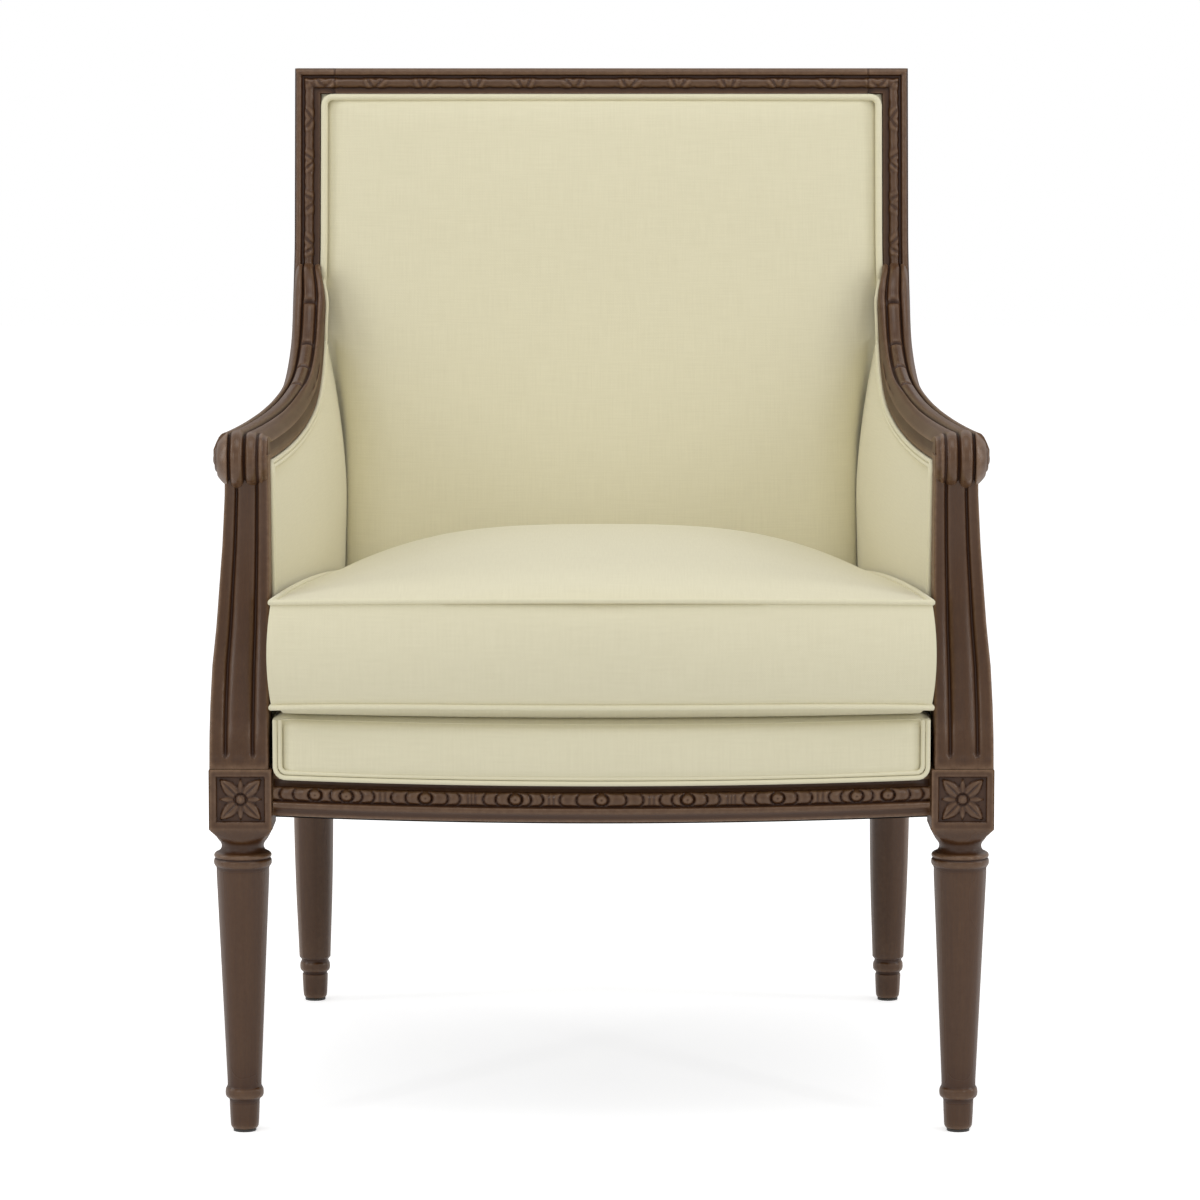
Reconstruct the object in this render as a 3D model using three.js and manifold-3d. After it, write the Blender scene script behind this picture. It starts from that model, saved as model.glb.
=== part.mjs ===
// Louis XVI style armchair with a square back, closed upholstered arms and a loose seat cushion.
// Millimetres, +Z up from the floor, the front faces -Y. Left and right are as seen from the front.
import * as THREE from "three";
import { mergeVertices } from "three/addons/utils/BufferGeometryUtils.js";
import Module from "manifold-3d";

const wasm = await Module();
wasm.setup();

// Overall sizes
const FRONT_LEG_SPACING = 624;
const BACK_LEG_SPACING = 568;
const LEG_DEPTH_SPACING = 600;
const OVERALL_HEIGHT = 919;
const BACK_LEAN = 85;
const BACK_FOOT_RAKE = 20;

// Clearances
const FIT = 0.3;
const SOFT_GAP = 0.6;
const OVERRUN = 2;
const WELD_DISTANCE = 0.001;

// Seat frame
const BLOCK_SIZE = 55;
const BLOCK_BOTTOM = 270;
const BLOCK_TOP = 322;
const RAIL_BOTTOM = 281;
const SHOW_WOOD_HEIGHT = 32;
const RAIL_HEIGHT = 69;
const RAIL_THICKNESS = 28;
const RAIL_REVEAL = 2;
const FRONT_BOW = 40;
const FRONT_BOW_STEPS = 12;
const TENON_LENGTH = 18;
const TENON_THICKNESS = 10;
const TENON_SHOULDER = 6;
const COVER_REBATE = 7;

// Front leg, from the floor up
const GLIDE_RADIUS = 10;
const GLIDE_THICKNESS = 2;
const GLIDE_PIN_RADIUS = 1.5;
const GLIDE_PIN_LENGTH = 16;
const FOOT_RADIUS = 13.6;
const FOOT_TAPER = 1.2;
const FOOT_HEIGHT = 28;
const ANKLE_RING_RADIUS = 17.7;
const ANKLE_RING_HEIGHT = 10;
const LEG_LOWER_RADIUS = 15;
const LEG_UPPER_RADIUS = 23;
const NECK_RING_RADIUS = 25;
const NECK_RING_HEIGHT = 14.5;
const NECK_RADIUS = 17;
const NECK_HEIGHT = 4;
const BLOCK_CHAMFER_HEIGHT = 11;
const TURNING_SEGMENTS = 16;
const RING_STEPS = 4;

// Sunk panels with a four-petalled flower on the front blocks
const PANEL_SIZE = 43;
const PANEL_DEPTH = 2.5;
const FLOWER_RADIUS = 18;
const FLOWER_WAIST_SHARE = 0.32;
const FLOWER_THICKNESS = 2;
const FLOWER_STEPS = 32;

// Back post: turned leg, seat block and leaning stile in one piece
const POST_WIDTH = 39;
const POST_DEPTH = 40;
const BACK_LEG_UPPER_RADIUS = 19.5;
const BACK_LEG_LOWER_RADIUS = 15;
const BACK_RING_RADIUS = 15.8;
const BACK_FOOT_RADIUS = 13;
const SHOW_WOOD_WIDTH = 24.5;
const FRONT_REBATE = 10;
const BACK_REBATE = 6;

// Back rails
const TOP_RAIL_TACKING_HEIGHT = 24;
const STAY_RAIL_BOTTOM = 384;
const STAY_RAIL_HEIGHT = 46;
const STAY_RAIL_THICKNESS = 20;

// Arm: crown of the scroll, share of the back above it that the arm climbs, share of that climb that
// lies on the stile, its widths and thicknesses
const ARM_HEIGHT = 613.5;
const ARM_RISE_SHARE = 0.38;
const ARM_JOINT_SHARE = 0.53;
const ARM_FRONT_SETBACK = 10;
const ARM_FRONT_REVEAL = 4;
const ARM_BACK_REVEAL = 2;
const ARM_FRONT_WIDTH = 47;
const ARM_BACK_WIDTH = 31;
const ARM_THICKNESS = 27;
const ARM_STILE_THICKNESS = 22;
const SCROLL_RADIUS = 25.5;
const SCROLL_SEGMENTS = 24;
const ARM_STEPS = 22;
// Share of the length, share of the rise, share of the way from the front place to the stile's in plan
const ARM_COURSE_SHARES = [
  [0, 0, 0],
  [0.18, -0.04, 0.03],
  [0.415, -0.066, 0.16],
  [0.58, -0.048, 0.38],
  [0.714, 0.013, 0.64],
  [0.83, 0.144, 0.9],
  [0.914, 0.362, 1],
  [0.967, 0.668, 1],
  [1, 1, 1],
];

// Arm stump between the front block and the scroll
const STUMP_INSET = 3;
const STUMP_TOP_REVEAL = 11;
const STUMP_RECESS = 30;
const STUMP_BACK_SWELL = 8;
const STUMP_STEPS = 12;
// Share of the height above the rails, share of the recess in front, share of the swell behind
const STUMP_COURSE_SHARES = [
  [0, 0.09, 0],
  [0.2, 0.5, 0.45],
  [0.43, 0.88, 0.95],
  [0.636, 1, 1],
  [0.83, 0.93, 0.8],
  [1, 0.78, 0.5],
];
const STUMP_DOWEL_RADIUS = 6;
const STUMP_DOWEL_LENGTH = 24;
const DOWEL_SEGMENTS = 12;

// Arm slat, the tacking rail above the seat
const SLAT_HEIGHT = 30;
const SLAT_THICKNESS = 18;
const SLAT_LIFT = 30;

// Corner blocks and their screws
const CORNER_BLOCK_REACH = 62;
const CORNER_BLOCK_HEIGHT = 34;
const CORNER_BLOCK_LIFT = 8;
const SCREW_HEAD_RADIUS = 4.5;
const SCREW_HEAD_HEIGHT = 3;
const SCREW_RADIUS = 2.2;
const SCREW_LENGTH = 34;
const SCREW_GRIP = 16;
const SCREW_TIP = 5;
const SCREW_SEGMENTS = 12;

// Webbing
const WEBBING_WIDTH = 52;
const WEBBING_THICKNESS = 1.5;
const LONG_STRAPS = 4;
const CROSS_STRAPS = 3;
const WEBBING_LAP = 18;
const LONG_STRAP_SPACING = 112;
const CROSS_STRAP_SPACING = 165;

// Upholstery
const DECK_THICKNESS = 16;
const DUST_COVER_THICKNESS = 1.2;
const DUST_COVER_INSET = 8;
const BAND_THICKNESS = 7;
const BAND_CROWN = 3;
const BAND_CROWN_POWER = 8;
const BAND_ROWS = 3;
const DECK_ROWS = 4;
const ARM_PAD_BACK_SWELL = 16;
const ARM_PAD_CROWN = 3;
const ARM_PAD_ROWS = 6;
const ARM_PAD_SHOULDER_SHARE = 0.4;
const BACK_PAD_FOOT_PROUD = 44;
const BACK_PAD_TOP_PROUD = 4;
const BACK_PAD_CROWN = 20;
const BACK_PAD_CROWN_POWER = 1.5;
const BACK_PAD_ACROSS = 14;
const BACK_PAD_UP = 14;
const OUTSIDE_PANEL_THICKNESS = 5;
const OUTSIDE_PANEL_CROWN = 3;
const OUTSIDE_ARM_ROWS = 3;
const OUTSIDE_BACK_ROWS = 8;

// Seat cushion
const CUSHION_BOXING = 89;
const CUSHION_CROWN = 33;
const CUSHION_EDGE_LIFT = 8;
const CUSHION_SEAM_RISE = 5;
const CUSHION_DRAW_IN = 2;
const CUSHION_BULGE = 2;
const CUSHION_OVERHANG = 12;
const CUSHION_FRONT_BOW = 32;
const CUSHION_ACROSS = 16;
const CUSHION_ALONG = 14;
const CUSHION_ROWS = 3;

// Welt cord
const WELT_RADIUS = 2.5;
const WELT_SIDES = 6;
const WELT_JOIN_SHARE = 0.02;

// Rounds of narrowing down where two edges meet
const MEETING_ROUNDS = 20;

// Heights and lines that several pieces share
const RAIL_TOP = RAIL_BOTTOM + RAIL_HEIGHT;
const SHOW_TOP = RAIL_BOTTOM + SHOW_WOOD_HEIGHT;
const DECK_BOTTOM = RAIL_TOP + 2 * (WEBBING_THICKNESS + FIT) + SOFT_GAP;
const DECK_TOP = DECK_BOTTOM + DECK_THICKNESS;
const POST_FRONT = LEG_DEPTH_SPACING - POST_DEPTH / 2;
const POST_BACK = LEG_DEPTH_SPACING + POST_DEPTH / 2;
const POST_INNER = BACK_LEG_SPACING / 2 - POST_WIDTH / 2;
const POST_OUTER = BACK_LEG_SPACING / 2 + POST_WIDTH / 2;
const SHOW_WOOD_INNER = POST_OUTER - SHOW_WOOD_WIDTH;
const BLOCK_INNER = FRONT_LEG_SPACING / 2 - BLOCK_SIZE / 2;
const BLOCK_OUTER = FRONT_LEG_SPACING / 2 + BLOCK_SIZE / 2;
const TOP_RAIL_BOTTOM = OVERALL_HEIGHT - SHOW_WOOD_WIDTH;

const lerp = THREE.MathUtils.lerp;
const mapLinear = THREE.MathUtils.mapLinear;
const clamp = THREE.MathUtils.clamp;

const ARM_TOP_HEIGHT = lerp(ARM_HEIGHT, OVERALL_HEIGHT, ARM_RISE_SHARE);
const ARM_JOINT_HEIGHT = ARM_JOINT_SHARE * (ARM_TOP_HEIGHT - ARM_HEIGHT);

// Outer face of the side rails and of the outside arm panels, as a distance from the middle
function outerLine(y) {
  return mapLinear(y, 0, LEG_DEPTH_SPACING, BLOCK_OUTER - RAIL_REVEAL, POST_OUTER - RAIL_REVEAL);
}

// Inner face of the side rails, where the arm pads start
function frameLine(y) {
  return outerLine(y) - RAIL_THICKNESS;
}

// Visible face of the inside arm pads
function padLine(y) {
  const front = BLOCK_INNER + STUMP_INSET;
  const back = POST_INNER - ARM_PAD_BACK_SWELL;
  return mapLinear(y, BLOCK_SIZE / 2, POST_FRONT, front, back);
}

// How far the back leans behind the seat joint at a height, and the same line carried on below the joint
function leanLine(z) {
  return ((z - RAIL_TOP) * BACK_LEAN) / (OVERALL_HEIGHT - RAIL_TOP);
}

function leanAt(z) {
  return Math.max(0, leanLine(z));
}

// Bowed outer face of the front rail, lifted forward by an offset
function bowLine(x, offset = 0) {
  const share = clamp(x / BLOCK_INNER, -1, 1);
  return -BLOCK_SIZE / 2 + RAIL_REVEAL - FRONT_BOW * (1 - share * share) - offset;
}

// Geometry to manifold solid, turned outside out if it was mirrored
function solid(geometry) {
  const plain = geometry.clone();
  plain.deleteAttribute("normal");
  plain.deleteAttribute("uv");
  const merged = mergeVertices(plain, WELD_DISTANCE);
  const triVerts = new Uint32Array(merged.index.array);
  const make = () =>
    new wasm.Manifold(
      new wasm.Mesh({
        numProp: 3,
        vertProperties: new Float32Array(merged.attributes.position.array),
        triVerts,
      }),
    );
  const first = make();
  if (first.volume() > 0) return first;
  for (let i = 0; i < triVerts.length; i += 3) {
    [triVerts[i + 1], triVerts[i + 2]] = [triVerts[i + 2], triVerts[i + 1]];
  }
  return make();
}

function geometryOf(manifold) {
  const mesh = manifold.getMesh();
  const geometry = new THREE.BufferGeometry();
  geometry.setAttribute("position", new THREE.BufferAttribute(new Float32Array(mesh.vertProperties), 3));
  geometry.setIndex(new THREE.BufferAttribute(new Uint32Array(mesh.triVerts), 1));
  geometry.computeVertexNormals();
  return geometry;
}

function joined(first, ...others) {
  return geometryOf(others.reduce((sum, g) => sum.add(solid(g)), solid(first)));
}

function cutFrom(first, ...cutters) {
  return geometryOf(cutters.reduce((rest, g) => rest.subtract(solid(g)), solid(first)));
}

// Moves each vertex of a geometry by a rule
function reshaped(geometry, rule) {
  const shaped = geometry.clone();
  const position = shaped.attributes.position;
  const point = new THREE.Vector3();
  for (let i = 0; i < position.count; i += 1) {
    point.fromBufferAttribute(position, i);
    rule(point);
    position.setXYZ(i, point.x, point.y, point.z);
  }
  return shaped;
}

function leaned(geometry) {
  return reshaped(geometry, (p) => {
    p.y += leanAt(p.z);
  });
}

// Box given by its corners
function block(low, high) {
  const size = high.map((v, i) => Math.abs(v - low[i]));
  const centre = high.map((v, i) => (v + low[i]) / 2);
  return new THREE.BoxGeometry(...size).translate(...centre);
}

function outline(points) {
  return new THREE.Shape(points.map(([a, b]) => new THREE.Vector2(a, b)));
}

// Plan outline, raised from one height to another
function planPrism(points, zLow, zHigh) {
  return new THREE.ExtrudeGeometry(outline(points), {
    depth: zHigh - zLow,
    bevelEnabled: false,
  }).translate(0, 0, zLow);
}

// Outline in side view (y, z), laid across from one distance to another by a rule on y and z
function sidePrism(points, side, innerAt, outerAt) {
  const slab = new THREE.ExtrudeGeometry(outline(points), { depth: 1, bevelEnabled: false });
  return reshaped(slab, (p) => {
    const [y, z, share] = [p.x, p.y, p.z];
    p.set(side * lerp(innerAt(y, z), outerAt(y, z), share), y, z);
  });
}

// Closed soft form: a unit box whose points, given as shares from -1 to 1, a rule places
function softForm(across, along, through, place) {
  const unit = new THREE.BoxGeometry(1, 1, 1, across, along, through);
  return reshaped(unit, (p) => p.set(...place(2 * p.x, 2 * p.y, 2 * p.z)));
}

// Grid lines of a soft form from one to another, as shares from -1 to 1
function gridShares(first, last, count) {
  const shares = [];
  const step = Math.sign(last - first);
  for (let i = first; i !== last + step; i += step) shares.push((2 * i) / count - 1);
  return shares;
}

function signAtEdge(value) {
  return Math.abs(value) === 1 ? value : 0;
}

// Turned piece: profile of [radius, height] pairs that starts and ends on the axis
function turned(profile, segments) {
  const points = profile.map(([r, z]) => new THREE.Vector2(r, z));
  return new THREE.LatheGeometry(points, segments).rotateX(Math.PI / 2);
}

function rod(radius, zLow, zHigh, segments) {
  return new THREE.CylinderGeometry(radius, radius, zHigh - zLow, segments)
    .rotateX(Math.PI / 2)
    .translate(0, 0, (zLow + zHigh) / 2);
}

// Half-round bead on a turned profile
function bead(coreRadius, beadRadius, zLow, zHigh) {
  const points = [];
  for (let i = 0; i <= RING_STEPS; i += 1) {
    const angle = (Math.PI * i) / RING_STEPS;
    points.push([
      coreRadius + (beadRadius - coreRadius) * Math.sin(angle),
      lerp(zLow, zHigh, (1 - Math.cos(angle)) / 2),
    ]);
  }
  return points;
}

// Curve through chosen stations, so that a tube keeps its corners where they are
class Course extends THREE.Curve {
  constructor(points) {
    super();
    this.points = points;
  }

  getPoint(t, target = new THREE.Vector3()) {
    const place = t * (this.points.length - 1);
    const i = Math.min(Math.floor(place), this.points.length - 2);
    return target.lerpVectors(this.points[i], this.points[i + 1], place - i);
  }

  getPointAt(u, target) {
    return this.getPoint(u, target);
  }

  getTangentAt(u, target = new THREE.Vector3()) {
    const i = Math.round(u * (this.points.length - 1));
    const before = this.points[Math.max(i - 1, 0)];
    const after = this.points[Math.min(i + 1, this.points.length - 1)];
    return target.subVectors(after, before).normalize();
  }
}

function weltAlong(points) {
  const section = [];
  for (let i = 0; i < WELT_SIDES; i += 1) {
    const angle = (2 * Math.PI * i) / WELT_SIDES;
    section.push([WELT_RADIUS * Math.cos(angle), WELT_RADIUS * Math.sin(angle)]);
  }
  return new THREE.ExtrudeGeometry(outline(section), {
    steps: points.length - 1,
    bevelEnabled: false,
    extrudePath: new Course(points),
  });
}

// Stations on a soft form's edge, each moved out by the welt's radius along the edge's two open sides
function seam(place, stations) {
  const reach = (WELT_RADIUS + SOFT_GAP) / Math.SQRT2;
  return stations.map(([u, v, w, out]) => {
    const [x, y, z] = place(u, v, w);
    return new THREE.Vector3(x + reach * out[0], y + reach * out[1], z + reach * out[2]);
  });
}

// Smooth course through rows of shares, sampled evenly along it
function smoothShares(rows, steps) {
  const curve = new THREE.CatmullRomCurve3(
    rows.map((row) => new THREE.Vector3(...row)),
    false,
    "centripetal",
  );
  return curve.getPoints(steps);
}

// Value of a sampled course at a place, read between its samples
function readCourse(samples, key, value, place) {
  const last = samples.length - 1;
  if (place <= samples[0][key]) return samples[0][value];
  if (place >= samples[last][key]) return samples[last][value];
  const i = samples.findIndex((s) => s[key] >= place);
  const [a, b] = [samples[i - 1], samples[i]];
  return mapLinear(place, a[key], b[key], a[value], b[value]);
}

// Arm: crown of its top in side view and its two edges in plan
const ARM_TOP_PLACE = POST_FRONT + leanAt(ARM_TOP_HEIGHT) - ARM_STILE_THICKNESS;
const ARM_COURSE = smoothShares(ARM_COURSE_SHARES, ARM_STEPS);
const ARM_CROWN = ARM_COURSE.map((s) => ({
  y: lerp(ARM_FRONT_SETBACK, ARM_TOP_PLACE, s.x),
  z: lerp(ARM_HEIGHT, ARM_TOP_HEIGHT, s.y),
  narrowing: s.z,
}));
const ARM_FRONT_OUTER = BLOCK_OUTER - ARM_FRONT_REVEAL;
const ARM_BACK_OUTER = POST_OUTER - ARM_BACK_REVEAL;
const ARM_BACK_INNER = ARM_BACK_OUTER - ARM_BACK_WIDTH;
const ARM_JOINT_BOTTOM = ARM_TOP_HEIGHT - ARM_JOINT_HEIGHT;
const SCROLL_CENTRE_HEIGHT = ARM_HEIGHT - SCROLL_RADIUS;

function armOuter(y) {
  return lerp(ARM_FRONT_OUTER, ARM_BACK_OUTER, readCourse(ARM_CROWN, "y", "narrowing", y));
}

function armInner(y) {
  return armOuter(y) - lerp(ARM_FRONT_WIDTH, ARM_BACK_WIDTH, readCourse(ARM_CROWN, "y", "narrowing", y));
}

function stileFront(z) {
  return POST_FRONT + leanAt(z);
}

// Underside of the arm: the crown moved down by the thickness, as far as the joint on the stile
const ARM_UNDERSIDE = ARM_CROWN.map((point, i) => {
  const before = ARM_CROWN[Math.max(i - 1, 0)];
  const after = ARM_CROWN[Math.min(i + 1, ARM_CROWN.length - 1)];
  const run = Math.hypot(after.y - before.y, after.z - before.z);
  return {
    y: point.y + (ARM_THICKNESS * (after.z - before.z)) / run,
    z: point.z - (ARM_THICKNESS * (after.y - before.y)) / run,
  };
}).filter((point) => point.z < ARM_JOINT_BOTTOM - ARM_THICKNESS);
ARM_UNDERSIDE.push({ y: stileFront(ARM_JOINT_BOTTOM) - FIT, z: ARM_JOINT_BOTTOM });

function armUnder(y) {
  return readCourse(ARM_UNDERSIDE, "y", "z", y);
}

// Stump: front and back faces in side view, outer face from the front
const STUMP_TOP = ARM_HEIGHT - ARM_THICKNESS - FIT - OVERRUN;
const STUMP_FRONT = -BLOCK_SIZE / 2 + RAIL_REVEAL;
const STUMP_BACK = Math.max(BLOCK_SIZE / 2 + STUMP_BACK_SWELL, ARM_FRONT_SETBACK + SCROLL_RADIUS);
const STUMP_COURSE = smoothShares(STUMP_COURSE_SHARES, STUMP_STEPS).map((s) => ({
  z: lerp(RAIL_TOP, STUMP_TOP, s.x),
  front: STUMP_FRONT + STUMP_RECESS * s.y,
  back: lerp(BLOCK_SIZE / 2, STUMP_BACK, s.z),
}));
STUMP_COURSE.unshift({ z: BLOCK_TOP + FIT, front: STUMP_FRONT, back: BLOCK_SIZE / 2 });
const STUMP_INNER = BLOCK_INNER + STUMP_INSET;
const STUMP_TOP_OUTER = ARM_FRONT_OUTER - STUMP_TOP_REVEAL;
const PAD_START = STUMP_BACK + SOFT_GAP;

function stumpOuter(z) {
  const share = THREE.MathUtils.smoothstep(z, BLOCK_TOP, STUMP_TOP);
  return lerp(BLOCK_OUTER - RAIL_REVEAL, STUMP_TOP_OUTER, share);
}

// Tenons and the mortises that take them
const TENON_LOW = RAIL_BOTTOM + TENON_SHOULDER;
const TENON_HIGH = BLOCK_TOP - TENON_SHOULDER;
const FRONT_TENON_PLACE = -BLOCK_SIZE / 2 + RAIL_REVEAL + RAIL_THICKNESS / 2;
const BACK_TENON_PLACE = POST_BACK - RAIL_REVEAL - TENON_THICKNESS / 2 - COVER_REBATE;

// Tenon along X that enters from a face, towards the outside on one side
function crossTenon(side, face, y, zLow, zHigh, grow = 0) {
  return block(
    [side * (face - OVERRUN - grow), y - TENON_THICKNESS / 2 - grow, zLow - grow],
    [side * (face + TENON_LENGTH + grow), y + TENON_THICKNESS / 2 + grow, zHigh + grow],
  );
}

// Tenon along Y that enters the front block or the back post
function longTenon(side, face, direction, grow = 0) {
  const x = outerLine(face) - RAIL_THICKNESS / 2;
  return block(
    [side * (x - TENON_THICKNESS / 2 - grow), face - direction * (OVERRUN + grow), TENON_LOW - grow],
    [
      side * (x + TENON_THICKNESS / 2 + grow),
      face + direction * (TENON_LENGTH + grow),
      TENON_HIGH + grow,
    ],
  );
}

// Foot and ankle ring, the same on every leg
function footProfile(footRadius, ringRadius, shaftRadius) {
  const ringLow = GLIDE_THICKNESS + FOOT_HEIGHT;
  return [
    [0, GLIDE_THICKNESS + FIT],
    [footRadius - FOOT_TAPER, GLIDE_THICKNESS + FIT],
    [footRadius, ringLow],
    ...bead(shaftRadius, ringRadius, ringLow, ringLow + ANKLE_RING_HEIGHT),
  ];
}

// Pin hole for a glide
function glideHole() {
  const depth = GLIDE_THICKNESS + GLIDE_PIN_LENGTH;
  return rod(GLIDE_PIN_RADIUS + FIT, 0, depth + OVERRUN, SCREW_SEGMENTS);
}

// Four-petalled flower with its petals on the diagonals, facing -Y
function flower() {
  const points = [];
  for (let i = 0; i < FLOWER_STEPS; i += 1) {
    const angle = (2 * Math.PI * i) / FLOWER_STEPS;
    const share = lerp(FLOWER_WAIST_SHARE, 1, Math.abs(Math.sin(2 * angle)));
    points.push([FLOWER_RADIUS * share * Math.cos(angle), FLOWER_RADIUS * share * Math.sin(angle)]);
  }
  return new THREE.ExtrudeGeometry(outline(points), {
    depth: FLOWER_THICKNESS + OVERRUN,
    bevelEnabled: false,
  })
    .rotateX(Math.PI / 2)
    .translate(0, PANEL_DEPTH + OVERRUN - BLOCK_SIZE / 2, (BLOCK_BOTTOM + BLOCK_TOP) / 2);
}

// Front leg: turned shaft, neck ring and square block, sunk and carved in front and outside
function frontLeg(side) {
  const neckLow = BLOCK_BOTTOM - BLOCK_CHAMFER_HEIGHT - NECK_HEIGHT;
  const half = BLOCK_SIZE / 2;
  const middle = (BLOCK_BOTTOM + BLOCK_TOP) / 2;
  const shaft = turned(
    [
      ...footProfile(FOOT_RADIUS, ANKLE_RING_RADIUS, LEG_LOWER_RADIUS),
      [LEG_UPPER_RADIUS, neckLow - NECK_RING_HEIGHT - FIT],
      ...bead(LEG_UPPER_RADIUS, NECK_RING_RADIUS, neckLow - NECK_RING_HEIGHT, neckLow),
      [NECK_RADIUS, neckLow],
      [NECK_RADIUS, neckLow + NECK_HEIGHT],
      [half, BLOCK_BOTTOM],
      [0, BLOCK_BOTTOM + OVERRUN],
    ],
    TURNING_SEGMENTS,
  );
  const cube = block([-half, -half, BLOCK_BOTTOM], [half, half, BLOCK_TOP]);
  const sunk = block(
    [-PANEL_SIZE / 2, -half - OVERRUN, middle - PANEL_SIZE / 2],
    [PANEL_SIZE / 2, PANEL_DEPTH - half, middle + PANEL_SIZE / 2],
  );
  const outwards = (side * Math.PI) / 2;
  const carved = cutFrom(joined(shaft, cube), sunk, sunk.clone().rotateZ(outwards), glideHole());
  const placed = joined(carved, flower(), flower().rotateZ(outwards)).translate(
    (side * FRONT_LEG_SPACING) / 2,
    0,
    0,
  );
  const socketLow = BLOCK_TOP - STUMP_DOWEL_LENGTH - FIT;
  const socket = rod(STUMP_DOWEL_RADIUS + FIT, socketLow, BLOCK_TOP + OVERRUN, DOWEL_SEGMENTS);
  return cutFrom(
    placed,
    socket.translate((side * FRONT_LEG_SPACING) / 2, 0, 0),
    crossTenon(side, BLOCK_INNER, FRONT_TENON_PLACE, TENON_LOW, TENON_HIGH, FIT),
    longTenon(side, half, -1, FIT),
  );
}

// Arm stump with a round tenon at each end, hollowed at the top to hold the scroll
function armStump(side) {
  const front = STUMP_COURSE.map((s) => [s.front, s.z]);
  const back = STUMP_COURSE.map((s) => [s.back, s.z]).reverse();
  const body = sidePrism([...front, ...back], side, () => STUMP_INNER, (y, z) => stumpOuter(z));
  const x = side * (FRONT_LEG_SPACING / 2);
  const low = rod(STUMP_DOWEL_RADIUS, BLOCK_TOP - STUMP_DOWEL_LENGTH, BLOCK_TOP + OVERRUN, DOWEL_SEGMENTS);
  const saddled = cutFrom(joined(body, low.translate(x, 0, 0)), scroll(side, FIT));
  return joined(saddled, stumpTopTenon(side, 0));
}

function stumpTopTenon(side, grow) {
  const x = (side * (STUMP_INNER + STUMP_TOP_OUTER)) / 2;
  const low = SCROLL_CENTRE_HEIGHT - SCROLL_RADIUS - STUMP_DOWEL_LENGTH / 2;
  return rod(STUMP_DOWEL_RADIUS + grow, low, SCROLL_CENTRE_HEIGHT + grow, DOWEL_SEGMENTS).translate(
    x,
    ARM_FRONT_SETBACK,
    0,
  );
}

// Rolled front end of the arm
function scroll(side, grow) {
  const outer = ARM_FRONT_OUTER + grow;
  const inner = ARM_FRONT_OUTER - ARM_FRONT_WIDTH - grow;
  return new THREE.CylinderGeometry(
    SCROLL_RADIUS + grow,
    SCROLL_RADIUS + grow,
    outer - inner,
    SCROLL_SEGMENTS,
  )
    .rotateZ(Math.PI / 2)
    .translate((side * (outer + inner)) / 2, ARM_FRONT_SETBACK, SCROLL_CENTRE_HEIGHT);
}

// Arm: from the scroll back, then sweeping up and ending against the stile
function arm(side) {
  const top = ARM_CROWN.map((p) => [p.y, p.z]);
  const end = [stileFront(ARM_TOP_HEIGHT) - FIT, ARM_TOP_HEIGHT];
  const under = ARM_UNDERSIDE.map((p) => [p.y, p.z]).reverse();
  const body = sidePrism([...top, end, ...under], side, armInner, armOuter);
  return cutFrom(joined(body, scroll(side, 0)), stumpTopTenon(side, FIT));
}

// Turned back leg whose foot stands behind its top
function backLeg() {
  const shaft = turned(
    [
      ...footProfile(BACK_FOOT_RADIUS, BACK_RING_RADIUS, BACK_LEG_LOWER_RADIUS),
      [BACK_LEG_UPPER_RADIUS, BLOCK_BOTTOM],
      [0, BLOCK_BOTTOM + OVERRUN],
    ],
    TURNING_SEGMENTS,
  );
  const raked = reshaped(shaft, (p) => {
    p.y += BACK_FOOT_RAKE * Math.max(0, 1 - p.z / BLOCK_BOTTOM);
  });
  return cutFrom(raked, glideHole().translate(0, BACK_FOOT_RAKE, 0));
}

// Back post: leg, seat block and stile, rebated in front and behind for the upholstery
function backPost(side) {
  const x = (side * BACK_LEG_SPACING) / 2;
  const post = (low, high) =>
    block([x - POST_WIDTH / 2, POST_FRONT, low], [x + POST_WIDTH / 2, POST_BACK, high]);
  const rebate = (yLow, yHigh, low, high) =>
    block([side * (POST_INNER - OVERRUN), yLow, low], [side * SHOW_WOOD_INNER, yHigh, high]);
  const back = POST_BACK - BACK_REBATE;
  const stile = leaned(
    cutFrom(
      post(RAIL_TOP, OVERALL_HEIGHT),
      rebate(POST_FRONT - OVERRUN, POST_FRONT + FRONT_REBATE, DECK_TOP, TOP_RAIL_BOTTOM),
      rebate(back, POST_BACK + OVERRUN, RAIL_TOP, TOP_RAIL_BOTTOM),
      topRailTenon(side, FIT),
      stayRailTenon(side, FIT),
    ),
  );
  const seatBlock = cutFrom(
    post(BLOCK_BOTTOM, RAIL_TOP),
    rebate(back, POST_BACK + OVERRUN, SHOW_TOP, RAIL_TOP + OVERRUN),
    longTenon(side, POST_FRONT, 1, FIT),
    crossTenon(side, POST_INNER, BACK_TENON_PLACE, TENON_LOW, TENON_HIGH, FIT),
  );
  const leg = backLeg().translate(x, LEG_DEPTH_SPACING, 0);
  return joined(leg, seatBlock, stile);
}

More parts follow.
